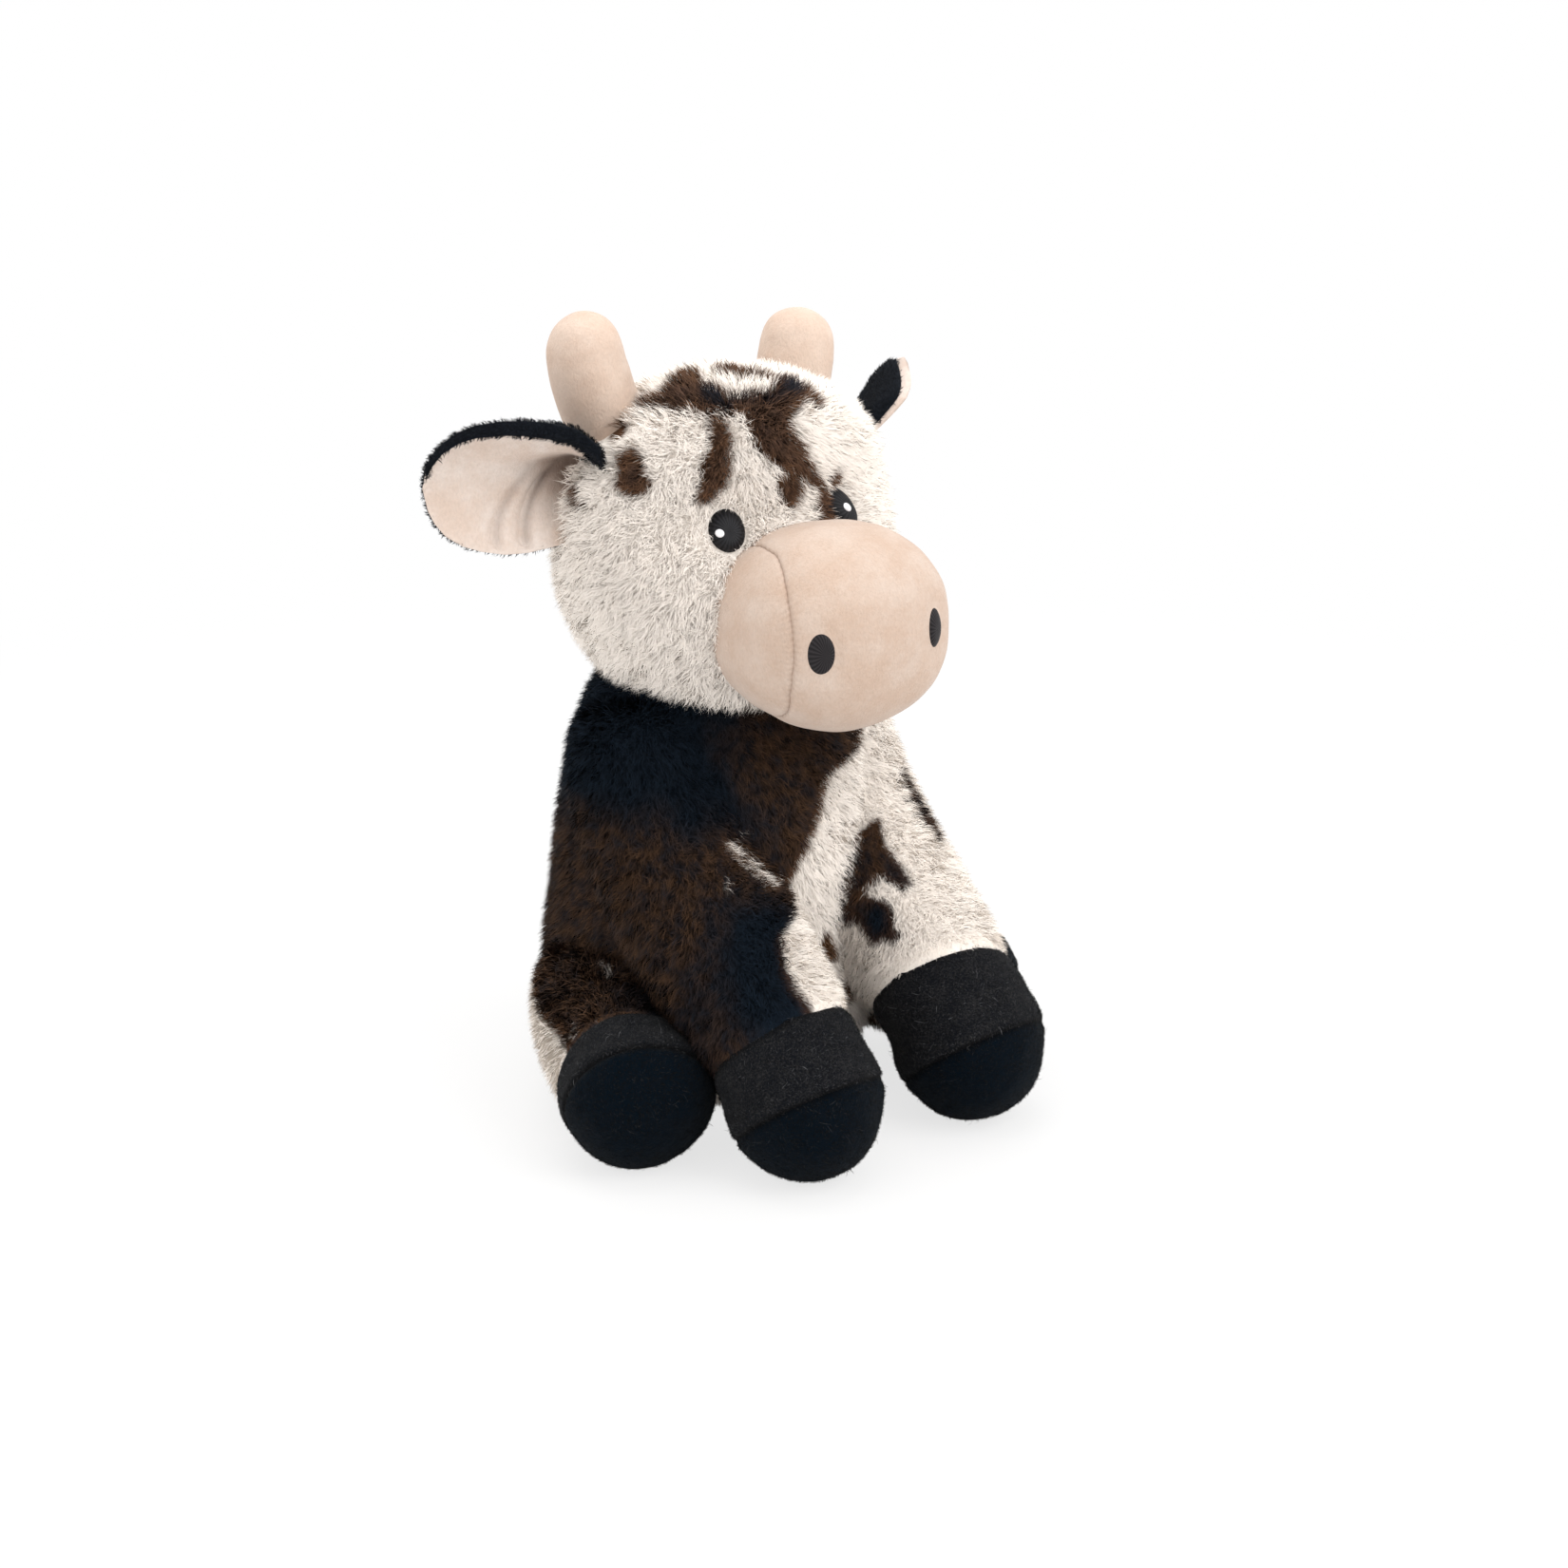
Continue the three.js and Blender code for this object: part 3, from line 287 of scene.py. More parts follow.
def curve(points, count, before=None, after=None):
    """Even steps along the centripetal Catmull-Rom curve through the points.

    The end tangents come from a point before and one after, which are the ends thrown
    forward by one span unless they are given."""
    p = np.asarray(points, float)
    before = 2 * p[0] - p[1] if before is None else before
    after = 2 * p[-1] - p[-2] if after is None else after
    p = np.vstack([before, p, after])
    gap = np.maximum(np.linalg.norm(np.diff(p, axis=0), axis=1) ** 0.5, 1e-6)
    knot = np.concatenate([[0], np.cumsum(gap)])
    spans = [np.linspace(knot[i], knot[i + 1], 60, endpoint=False) for i in range(1, len(p) - 2)]
    t = np.concatenate(spans + [knot[-2:-1]])
    k = np.clip(np.searchsorted(knot, t, side="right") - 1, 1, len(p) - 3)

    def between(a, b, i, j):
        share = ((t - knot[i]) / (knot[j] - knot[i]))[:, None]
        return a * (1 - share) + b * share

    near = between(p[k - 1], p[k], k - 1, k)
    middle = between(p[k], p[k + 1], k, k + 1)
    far = between(p[k + 1], p[k + 2], k + 1, k + 2)
    first = between(near, middle, k - 1, k + 1)
    second = between(middle, far, k, k + 2)
    return even(between(first, second, k, k + 1), count)


def run_length(points):
    """The length of a line from its first point to each point."""
    return np.concatenate([[0], np.cumsum(np.linalg.norm(np.diff(points, axis=0), axis=1))])


def even(points, count):
    """The same line in a count of even steps of its length."""
    run = run_length(points)
    at = np.linspace(0, run[-1], count)
    return np.stack([np.interp(at, run, column) for column in points.T], 1)


def dice(cells, seed):
    """A repeatable number from 0 to 1 for each whole-numbered cell, from the fraction of a sine."""
    value = np.sin(cells @ np.array([127.1, 311.7, 74.7]) + seed * 53.31) * 43758.5453
    return value - np.floor(value)


def lumps(points, size, seed):
    """Smooth noise from -1 to 1: numbers at the corners of cubes of one size, eased between."""
    p = np.asarray(points) / size
    cell = np.floor(p)
    f = (p - cell) ** 2 * (3 - 2 * (p - cell))
    total = np.zeros(p.shape[:-1])
    for corner in product((0, 1), repeat=3):
        weight = np.prod(np.where(corner, f, 1 - f), axis=-1)
        total += weight * dice(cell + corner, seed)
    return 2 * total - 1


def drift(points, size, seed):
    """A smooth field of directions: one noise for each axis."""
    return np.stack([lumps(points, size, seed + k) for k in range(3)], -1)


def tufts(points, size, seed):
    """The nearest tuft centre to each point, one at random in each cube of the given size."""
    p = points / size
    cell = np.floor(p)
    best = np.full(len(p), np.inf)
    centre = np.zeros_like(p)
    for offset in product((-1, 0, 1), repeat=3):
        there = cell + offset
        spot = there + np.stack([dice(there, seed + k) for k in range(3)], -1)
        away = ((spot - p) ** 2).sum(-1)
        nearer = away < best
        best = np.where(nearer, away, best)
        centre = np.where(nearer[:, None], spot, centre)
    return centre * size


def spot_depth(points, chains):
    """How far outside the spots each point lies.

    That is the least distance to a chain's links, less their half width there."""
    best = np.full(points.shape[:-1], np.inf)
    for chain in chains:
        links = np.asarray(chain, float)
        for a, b in zip(links[:-1], links[1:]):
            span = b[:3] - a[:3]
            t = np.clip(((points - a[:3]) @ span) / (span @ span), 0, 1)
            away = np.linalg.norm(points - a[:3] - t[..., None] * span, axis=-1)
            best = np.minimum(best, away - (a[3] * (1 - t) + b[3] * t))
    return best


def facing_out(points):
    """Normals of a grid that closes on itself across its columns, pointing away from its middle."""
    along = np.gradient(points, axis=0)
    around = np.roll(points, -1, axis=1) - np.roll(points, 1, axis=1)
    normal = unit(np.cross(around, along))
    middle = points.mean(axis=1, keepdims=True)
    inwards = ((points - middle) * normal).sum() < 0
    normal = -normal if inwards else normal
    for end, inner in ((0, 1), (-1, -2)):
        if np.ptp(points[end], axis=0).max() < 0.5:
            normal[end] = unit(normal[inner].mean(axis=0))
    return normal


class Stuffed:
    """A stuffed form: oval rings square to a smooth path, closed by a point at each end."""

    def __init__(self, path, across, half_width, half_depth, shares, rings=150, sides=112):
        spine = curve(path, 400)
        length = np.linalg.norm(np.diff(spine, axis=0), axis=1).sum()
        table = np.asarray(shares, float) * (length, half_width, half_depth)
        mirror = np.array([1.0, -1.0, -1.0])
        at, wide, deep = curve(table, rings, table[1] * mirror, table[-2] * mirror).T
        steps = np.linspace(0, length, len(spine))
        pick = lambda columns: np.stack([np.interp(at, steps, c) for c in columns.T], 1)
        self.centre = pick(spine)
        self.tangent = unit(pick(np.gradient(spine, axis=0)))
        self.depth = unit(np.cross(self.tangent, across))
        self.width = unit(np.cross(self.depth, self.tangent))
        self.wide, self.deep = np.maximum(wide, 0), np.maximum(deep, 0)
        turn = np.linspace(0, 2 * math.pi, sides, endpoint=False)
        self.points = (
            self.centre[:, None]
            + self.width[:, None] * (self.wide[:, None] * np.cos(turn))[..., None]
            + self.depth[:, None] * (self.deep[:, None] * np.sin(turn))[..., None]
        )
        self.normals = facing_out(self.points)

    def settle(self, offsets):
        """Moves each point along its normal, then works the normals out again."""
        self.points = self.points + self.normals * offsets[..., None]
        self.normals = facing_out(self.points)
        return self

    def level(self, points):
        """The share of the way from the path to the surface at which each point lies, 1 on it."""
        flat = points.reshape(-1, 3)
        result = np.empty(len(flat))
        for start in range(0, len(flat), POINTS_AT_ONCE):
            part = flat[start:start + POINTS_AT_ONCE]
            away = ((part[:, None] - self.centre[None, ::2]) ** 2).sum(-1)
            k = np.clip(2 * away.argmin(1), 1, len(self.centre) - 2)
            gap = part - self.centre[k]
            step = np.linalg.norm(self.centre[k + 1] - self.centre[k - 1], axis=1) / 2
            slide = np.clip((gap * self.tangent[k]).sum(1) / np.maximum(step, 1e-6), -2, 2)
            ring = np.clip(k + slide, 0, len(self.centre) - 1)
            order = np.arange(len(self.centre))
            wide = np.maximum(np.interp(ring, order, self.wide), 0.2)
            deep = np.maximum(np.interp(ring, order, self.deep), 0.2)
            x = (gap * self.width[k]).sum(1) / wide
            y = (gap * self.depth[k]).sum(1) / deep
            beyond = np.maximum(np.abs((gap * self.tangent[k]).sum(1)) - 2 * step, 0)
            result[start:start + POINTS_AT_ONCE] = np.hypot(x, y) + beyond
        return result.reshape(points.shape[:-1])

    def covers(self, points, margin):
        """Whether each point lies inside the form by at least the margin."""
        size = (self.wide.max() + self.deep.max()) / 2
        return self.level(points) < 1 - margin / size


def between_rings(points, start, stop, rows):
    """A grid cut to the rows from a start to a stop that may differ from column to column."""
    share = np.linspace(0, 1, rows)[:, None]
    ring = start[None] + share * (stop - start)[None]
    low = np.clip(np.floor(ring).astype(int), 0, len(points) - 2)
    part = (ring - low)[..., None]
    column = np.arange(points.shape[1])[None]
    return points[low, column] * (1 - part) + points[low + 1, column] * part


def crossing(values):
    """For each column, the row with its fraction at which the values first pass zero upwards."""
    above = values > 0
    k = np.clip(above.argmax(axis=0), 1, len(values) - 1)
    column = np.arange(values.shape[1])
    low, high = values[k - 1, column], values[k, column]
    return k - 1 + np.clip(-low / np.where(high - low == 0, 1, high - low), 0, 1)


class Wire:
    """A number travelling between nodes; arithmetic on it adds the Math node of the same name."""

    def __init__(self, finish, socket):
        self.finish, self.socket = finish, socket

    def __add__(self, other):
        return self.finish.maths("ADD", self, other)

    def __sub__(self, other):
        return self.finish.maths("SUBTRACT", self, other)

    def __rsub__(self, other):
        return self.finish.maths("SUBTRACT", other, self)

    def __mul__(self, other):
        return self.finish.maths("MULTIPLY", self, other)

    __radd__, __rmul__ = __add__, __mul__


class Finish:
    """A material's or a world's nodes: one method that adds any node and a few that add the common ones."""

    def __init__(self, name="", owner=None):
        self.owner = owner or bpy.data.materials.new(name)
        self.owner.use_nodes = True
        self.tree = self.owner.node_tree
        self.tree.nodes.clear()

    @cached_property
    def place(self):
        """The place in the object's own frame."""
        return self.node("ShaderNodeTexCoord").outputs["Object"]

    def node(self, kind, settings=(), **inputs):
        """A node of a kind: its settings, then its inputs, by name with _ for a space, or iN by number."""
        node = self.tree.nodes.new(kind)
        for name, value in dict(settings).items():
            setattr(node, name, value)
        for name, value in inputs.items():
            key = int(name[1:]) if name[0] == "i" and name[1:].isdigit() else name.replace("_", " ")
            self.feed(node.inputs[key], value)
        return node

    def feed(self, socket, value):
        """Links an output to the socket, or sets the socket to a plain value."""
        if isinstance(value, Wire):
            value = value.socket
        if isinstance(value, bpy.types.NodeSocket):
            self.tree.links.new(value, socket)
        else:
            socket.default_value = value

    def maths(self, operation, a, b=0.0, clamp=False):
        """One operation of the Math node on two numbers."""
        node = self.node("ShaderNodeMath", {"operation": operation, "use_clamp": clamp}, i0=a, i1=b)
        return Wire(self, node.outputs[0])

    def noise(self, size, detail=2.0, roughness=0.5, stretch=(1, 1, 1)):
        """Noise whose lumps have a size in millimetres, from 0 to 1."""
        place = self.node("ShaderNodeMapping", Vector=self.place, Scale=stretch).outputs[0]
        node = self.node(
            "ShaderNodeTexNoise", Vector=place, Scale=1 / (size * MM), Detail=detail, Roughness=roughness
        )
        return Wire(self, node.outputs["Fac"])

    def step(self, value, low, high):
        """0 below low and 1 above high, eased between."""
        node = self.node(
            "ShaderNodeMapRange", {"interpolation_type": "SMOOTHSTEP"},
            Value=value, From_Min=low, From_Max=high,
        )
        return Wire(self, node.outputs[0])

    def mixed(self, share, a, b, mode="MIX"):
        """Two colours mixed by a share."""
        settings = {"data_type": "RGBA", "blend_type": mode}
        return self.node("ShaderNodeMix", settings, i0=share, i6=a, i7=b).outputs[2]

    def dimmed(self, colour, factor):
        """A colour times a number."""
        factors = self.node("ShaderNodeCombineColor", i0=factor, i1=factor, i2=factor).outputs[0]
        return self.mixed(1.0, colour, factors, "MULTIPLY")

    def tint(self):
        """The colour painted on the mesh's points."""
        return self.node("ShaderNodeAttribute", {"attribute_name": "Tint"}).outputs["Color"]

    def seam(self):
        """How deep a place lies in a seam's dark line and in painted shade, which the painted colour's
        first channel holds.
        """
        return Wire(self, self.node("ShaderNodeSeparateColor", Color=self.tint()).outputs[0])

    def cloth(self, colour, roughness, height=None, relief=1.0, distance=0.5, **constants):
        """The cloth's shader: a colour, a roughness, a bump of a height in millimetres, and constants."""
        shader = self.node("ShaderNodeBsdfPrincipled", Base_Color=colour, Roughness=roughness, **constants)
        if height is not None:
            bump = self.node("ShaderNodeBump", Strength=relief, Distance=distance * MM, Height=height)
            self.feed(shader.inputs["Normal"], bump.outputs[0])
        self.node("ShaderNodeOutputMaterial", Surface=shader.outputs[0])
        return self.owner


def rgba(colour):
    """A colour with full alpha."""
    return (*colour, 1.0)


def pile_finish(name):
    """Long pile: the strands' own colour, broken up from tuft to tuft."""
    finish = Finish(name)
    colour = finish.dimmed(finish.tint(), 0.95 + 0.1 * finish.noise(3.0))
    return finish.cloth(colour, 0.85, Specular_IOR_Level=0.1)


def ground_finish(name):
    """The knitted ground under the pile, in the pile's colour darkened a little as painted shade under the
    strands.
    """
    finish = Finish(name)
    # Painted shade: a little black mixed into the pile's colour
    colour = finish.mixed(0.08, finish.tint(), (0.0, 0.0, 0.0, 1.0))
    height = finish.noise(0.9, 3.0) + 2.0 * finish.noise(4.0)
    return finish.cloth(colour, 0.95, height, 0.8, 1.2, Specular_IOR_Level=0.1)


def velour_finish(name, colour, deep, line=None):
    """Short velour: brushed patches, a fine nap, and a darker line along the seams, which on the ears is
    painted shade in the cup and beside the creases.
    """
    finish = Finish(name)
    brushed = finish.step(finish.noise(13.0, 3.0, 0.55) + 0.3 * finish.noise(1.7, 2.0), 0.35, 1.0)
    fibre = finish.noise(0.8, 2.0, 0.7, (1, 1, 0.6))
    body = finish.dimmed(finish.mixed(brushed, rgba(deep), rgba(colour)), 0.86 + 0.28 * fibre)
    # The first painted channel darkens towards line: a seam's dark line on the muzzle, painted shade on the
    # ears
    share = (0.85 if line else 0.6) * finish.seam()
    body = finish.mixed(share, body, rgba(line or [c * c * 0.7 for c in deep]))
    height = 0.9 * fibre + 0.5 * finish.noise(2.0, 2.0)
    return finish.cloth(
        body, 0.75 + 0.2 * fibre, height, 0.7, 0.45,
        Sheen_Weight=0.16, Sheen_Roughness=0.35, Specular_IOR_Level=0.1,
    )


def fleece_finish(name, colour, fluff):
    """Dark fleece: a matt ground with paler fibres caught on it, and shade in the seams."""
    finish = Finish(name)
    fibre = finish.noise(0.7, 3.0, 0.75)
    bloom = finish.step(0.25 * finish.noise(6.0, 2.0) + fibre, 0.5, 0.95)
    body = finish.mixed(bloom, rgba(colour), rgba(fluff))
    body = finish.mixed(0.7 * finish.seam(), body, (0.001, 0.001, 0.001, 1.0))
    height = fibre + 0.8 * finish.noise(2.0, 2.0)
    return finish.cloth(
        body, 0.85 + 0.1 * fibre, height, 0.9, 0.6,
        Sheen_Weight=0.03, Sheen_Roughness=0.4, Specular_IOR_Level=0.04,
    )


def thread_finish(name, colour, pale):
    """Satin stitch: fine raised threads side by side along the piece's own U."""
    finish = Finish(name)
    uv = finish.node("ShaderNodeUVMap", {"uv_map": "OFBake"}).outputs[0]
    across = finish.node("ShaderNodeSeparateXYZ", Vector=uv).outputs[0]
    wave = 0.5 + 0.5 * finish.maths("SINE", Wire(finish, across) * 150.0)
    # Each thread's raised crest takes the pale colour: a painted sheen along the threads
    body = finish.mixed(0.6 * wave, rgba(colour), rgba(pale))
    return finish.cloth(body, 0.6 - 0.1 * wave, wave, 0.35, 0.2, Specular_IOR_Level=0.18)


def build(name, points, corners, sizes, uv, material, tint=None, normals=None):
    """A mesh object in metres from points in millimetres.

    corners lists the faces' corners one face after another, sizes how many each face has,
    uv the map's place of each corner, tint a colour and normals a direction for each point."""
    mesh = bpy.data.meshes.new(name)
    mesh.vertices.add(len(points))
    mesh.vertices.foreach_set("co", (points * MM).astype(np.float32).ravel())
    mesh.loops.add(len(corners))
    mesh.loops.foreach_set("vertex_index", corners.astype(np.int32))
    mesh.polygons.add(len(sizes))
    mesh.polygons.foreach_set("loop_start", (np.cumsum(sizes) - sizes).astype(np.int32))
    mesh.update(calc_edges=True)
    mesh.shade_smooth()
    layer = mesh.uv_layers.new(name="OFBake")
    layer.data.foreach_set("uv", uv.astype(np.float32).ravel())
    if tint is not None:
        colours = np.ones((len(points), 4), np.float32)
        colours[:, :3] = tint
        mesh.color_attributes.new("Tint", "FLOAT_COLOR", "POINT").data.foreach_set("color", colours.ravel())
    if normals is not None:
        mesh.normals_split_custom_set_from_vertices(normals)
    mesh.materials.append(material)
    piece = bpy.data.objects.new(name, mesh)
    bpy.context.scene.collection.objects.link(piece)
    return piece


def skin(name, points, material, tint=None):
    """A piece from a grid of points that closes on itself across its columns, facing out.

    A first or last row that is a single place becomes one point there; any other is an open edge."""
    rows, columns = points.shape[:2]
    start_pole = np.ptp(points[0], axis=0).max() < 0.02
    end_pole = np.ptp(points[-1], axis=0).max() < 0.02
    first, last = int(start_pole), rows - int(end_pole)
    body = points[first:last].reshape(-1, 3)
    order = np.arange(len(body)).reshape(last - first, columns)
    after = np.roll(order, -1, axis=1)
    quads = np.stack([order[:-1], after[:-1], after[1:], order[1:]], -1).reshape(-1, 4)
    u = np.arange(columns) / columns
    v = (np.arange(first, last) + 0.5) / rows
    low, high = np.meshgrid(v[:-1], u, indexing="ij"), np.meshgrid(v[1:], u + 1 / columns, indexing="ij")
    quad_uv = np.stack([
        np.stack([low[1], low[0]], -1), np.stack([high[1], low[0]], -1),
        np.stack([high[1], high[0]], -1), np.stack([low[1], high[0]], -1),
    ], 2).reshape(-1, 4, 2)
    corners, sizes, uvs = [quads.ravel()], [np.full(len(quads), 4)], [quad_uv.reshape(-1, 2)]
    places, colours = [body], None if tint is None else [tint[first:last].reshape(-1, 3)]
    for pole, row, edge, flip in ((start_pole, 0, 0, False), (end_pole, -1, -1, True)):
        if not pole:
            continue
        tip = np.full(columns, sum(len(p) for p in places))
        ring, beyond = (order[edge], after[edge]) if not flip else (after[edge], order[edge])
        corners.append(np.stack([tip, beyond, ring], -1).ravel())
        sizes.append(np.full(columns, 3))
        height = v[0] - 0.5 / rows if not flip else v[-1] + 0.5 / rows
        sides = (u + 1 / columns, u) if not flip else (u, u + 1 / columns)
        edge_v = np.full(columns, v[edge])
        uvs.append(np.stack([
            np.stack([u + 0.5 / columns, np.full(columns, height)], -1),
            np.stack([sides[0], edge_v], -1), np.stack([sides[1], edge_v], -1),
        ], 1).reshape(-1, 2))
        places.append(points[row, :1])
        if tint is not None:
            colours.append(tint[row, :1])
    places = np.concatenate(places)
    corners, sizes, uvs = np.concatenate(corners), np.concatenate(sizes), np.concatenate(uvs)
    four = corners[:4 * len(quads)].reshape(-1, 4)
    face = np.cross(places[four[:, 2]] - places[four[:, 0]], places[four[:, 3]] - places[four[:, 1]])
    normals = facing_out(points)[first:last].reshape(-1, 3)
    if (face * normals[four[:, 0]]).sum() < 0:
        starts = np.cumsum(sizes) - sizes
        index = np.arange(len(corners))
        owner = np.repeat(np.arange(len(sizes)), sizes)
        order = starts[owner] + sizes[owner] - 1 - (index - starts[owner])
        corners, uvs = corners[order], uvs[order]
    colours = None if tint is None else np.concatenate(colours)
    return build(name, places, corners, sizes, uvs, material, colours)


def scattered(points, normals, per_mm2, rng, *also):
    """Places at random over a grid that closes across its columns, so many to a square millimetre.

    Grids given beside it are read at the same places."""
    wrap = lambda grid: np.concatenate([grid, grid[:, :1]], axis=1)
    p, n = wrap(points), wrap(normals)
    side = np.linalg.norm(np.cross(p[1:, 1:] - p[:-1, :-1], p[:-1, 1:] - p[1:, :-1]), axis=-1) / 2
    counts = rng.poisson(side * per_mm2).ravel()
    cell = np.repeat(np.arange(side.size), counts)
    row, column = np.unravel_index(cell, side.shape)
    a, b = rng.random((2, len(cell), 1))
    take = lambda grid: (
        (grid[row, column] * (1 - a) + grid[row + 1, column] * a) * (1 - b)
        + (grid[row, column + 1] * (1 - a) + grid[row + 1, column + 1] * a) * b
    )
    return (take(p), unit(take(n)), *(take(wrap(grid)) for grid in also))


def pile(
    name, roots, normals, comb, lengths, paint, material, rng,
    rise=0.66, width=0.3, clump=3.6, gather=0.3, sink=0.0,
):
    """Strands of pile: narrow blades that leave the cloth upright and bend over along the comb.

    A blade is a point-topped strip of two steps. Its tip leans along the comb, turned by a
    smooth drift, and is drawn towards the nearest tuft centre. Its root, middle and tip are each
    painted as the cloth's print is straight below them, sink over the root, then darkened at the
    root with painted shade and brightened at the tip, partly as the dark pile's own paler tips and
    partly as painted light. The blades are shuffled into pieces, and one piece in three casts a
    shadow, since light passes through real pile."""
    count = len(roots)
    lean = 0.8 * comb + 0.8 * drift(roots, clump, 11) + 0.35 * rng.normal(size=(count, 3))
    lean = unit(lean - (lean * normals).sum(-1, keepdims=True) * normals)
    upright = (rise * (0.8 + 0.4 * rng.random(count)))[:, None]
    length = lengths[:, None]
    flat = np.sqrt(np.maximum(1 - upright ** 2, 0.05))
    tip = roots + length * (normals * upright + lean * flat)
    pull = tufts(roots, clump, 23) - roots
    pull = pull - (pull * normals).sum(-1, keepdims=True) * normals
    tip = tip + gather * pull
    middle = roots + 0.5 * (tip - roots) + normals * length * 0.12 - lean * length * 0.05
    along = unit(tip - roots)
    across = unit(np.cross(along, normals) + 0.45 * rng.normal(size=(count, 3)) * (1 - np.abs(along)))
    across = unit(across - (across * along).sum(-1, keepdims=True) * along)
    half = across * (width * (0.75 + 0.5 * rng.random(count)) / 2)[:, None]
    turned = (np.cross(half, along) * normals).sum(-1, keepdims=True)
    half = np.where(turned < 0, -half, half)
    shading = unit(normals + 0.22 * unit(np.cross(half, along)) + 0.1 * along)
    blades = np.stack([roots - half, roots + half, middle - 0.8 * half, middle + 0.8 * half, tip], 1)
    blades[..., 2] = np.maximum(blades[..., 2], 0.3)
    printed = np.stack([roots, middle, tip], 1)
    height = ((printed - roots[:, None]) * normals[:, None]).sum(-1, keepdims=True)
    printed = printed + (sink - height) * normals[:, None]
    tint = np.broadcast_to(paint(printed), (count, 3, 3))
    pale = ease(tint.mean(-1, keepdims=True), 0.1, 0.5)
    tint = tint * (1 + (0.12 * pale + 0.9 * (1 - pale)) * (rng.random((count, 1, 1)) - 0.5))
    # Painted shade at the root; the brighter tip is partly the dark pile's own colour, partly painted light
    steps = DARK_STEPS[:, None] + pale * PALE_STEPS[:, None]
    colours = (tint * steps)[:, [0, 0, 1, 1, 2]]
    mixed = rng.permutation(count)
    blades, colours, shading = blades[mixed], colours[mixed], shading[mixed]
    pieces = []
    size = min(STRANDS_PER_PIECE, count // 3 + 1)
    for start in range(0, count, size):
        part = blades[start:start + size]
        n = len(part)
        first = 5 * np.arange(n)[:, None]
        corners = (first + np.array([0, 1, 3, 2, 2, 3, 4])).ravel()
        cells = math.ceil(math.sqrt(n))
        cell = np.stack([np.arange(n) % cells, np.arange(n) // cells], -1)[:, None]
        uv = ((cell + BLADE_UV) / cells).reshape(-1, 2)
        pieces.append(build(
            f"{name}_{start // size + 1}", part.reshape(-1, 3), corners, np.tile([4, 3], n), uv,
            material, colours[start:start + size].reshape(-1, 3),
            np.repeat(shading[start:start + size], 5, axis=0),
        ))
        pieces[-1].visible_shadow = start // size % 3 == 0
    return pieces


def blended(share, a, b):
    """From colour a to colour b by a share for each point."""
    return a + share[..., None] * (np.asarray(b, float) - a)


def scaled(colour, factors):
    """A colour with each channel times its factor."""
    return [c * k for c, k in zip(colour, factors)]


def grey(shade):
    """A share from 0 to 1, held there, as a colour."""
    return np.repeat(np.clip(shade, 0, 1)[..., None], 3, -1)


def head_form():
    """The head: ovals round a line up from the chin, which is set back towards the brow."""
    path = (
        (0, HEAD_Y, CHIN_Z), (0, HEAD_Y, CHIN_Z + 0.33 * HEAD_HEIGHT),
        (0, HEAD_Y + BROW_SETBACK, CHIN_Z + HEAD_HEIGHT),
    )
    return Stuffed(path, SIDEWAYS, HEAD_HALF_WIDTH, HEAD_HALF_DEPTH, HEAD_SHARES, 170, 150)


def torso_form():
    """The body: ovals round a line up from the seat, which leans forward more and more."""
    path = (
        (0, TORSO_SEAT_Y, -0.5), (0, TORSO_SEAT_Y - 0.25 * TORSO_LEAN, 0.33 * TORSO_HEIGHT),
        (0, TORSO_SEAT_Y - TORSO_LEAN, TORSO_HEIGHT),
    )
    return Stuffed(path, SIDEWAYS, TORSO_HALF_WIDTH, TORSO_HALF_DEPTH, TORSO_SHARES, 170, 150)


def foreleg_form(side):
    """A foreleg: circles round a curve that drops from the shoulder, then runs out to the hoof."""
    path = [
        (
            side * (SHOULDER[0] + drop * (FORE_HOOF_X[side] - SHOULDER[0])),
            SHOULDER[1] + reach * (-FORE_HOOF_REACH - SHOULDER[1]),
            SHOULDER[2] + drop * (FORE_HOOF_END_Z - SHOULDER[2]),
        )
        for reach, drop in FORELEG_PATH_SHARES
    ]
    return Stuffed(path, SIDEWAYS, FORELEG_RADIUS, FORELEG_RADIUS, FORELEG_SHARES, 200, 110)


def hindleg_form(side):
    """A hind leg: circles round a curve from the hip out to the hoof, which turns as it goes."""
    mirror = np.array([side, 1, 1])
    path = [(HIP + np.array([s, f, d]) * (HIND_HOOF_END - HIP)) * mirror for s, f, d in HINDLEG_PATH_SHARES]
    return Stuffed(path, UP, HINDLEG_RADIUS, HINDLEG_RADIUS, HINDLEG_SHARES, 190, 110)


def horn_form(side):
    """A horn: circles round a curve that leans out two thirds of its way in its lower half."""
    tip_x, tip_z = HORN_TIPS[side]
    path = (
        (side * HORN_BASE_X, HORN_Y, HORN_BASE_Z),
        (side * (HORN_BASE_X + 0.67 * (tip_x - HORN_BASE_X)), HORN_Y, (HORN_BASE_Z + tip_z) / 2),
        (side * tip_x, HORN_Y, tip_z),
    )
    return Stuffed(path, SIDEWAYS, HORN_RADIUS, HORN_RADIUS, HORN_SHARES, 110, 90)


def tail_form():
    """The tail: circles round a line bowed backwards by a share of its length."""
    middle = (TAIL_ROOT + TAIL_END) / 2 + TAIL_BOW_SHARE * np.linalg.norm(TAIL_END - TAIL_ROOT) * BACKWARDS
    return Stuffed((TAIL_ROOT, middle, TAIL_END), SIDEWAYS, TAIL_RADIUS, TAIL_RADIUS, TAIL_SHARES, 120, 48)


def muzzle_height(y, z):
    """The muzzle's half height: below its middle it hangs deeper towards the front, in step with Y."""
    return MUZZLE_HALF_HEIGHT - np.where(z < 0, MUZZLE_DROOP * y / MUZZLE_FRONT_DEPTH, 0)


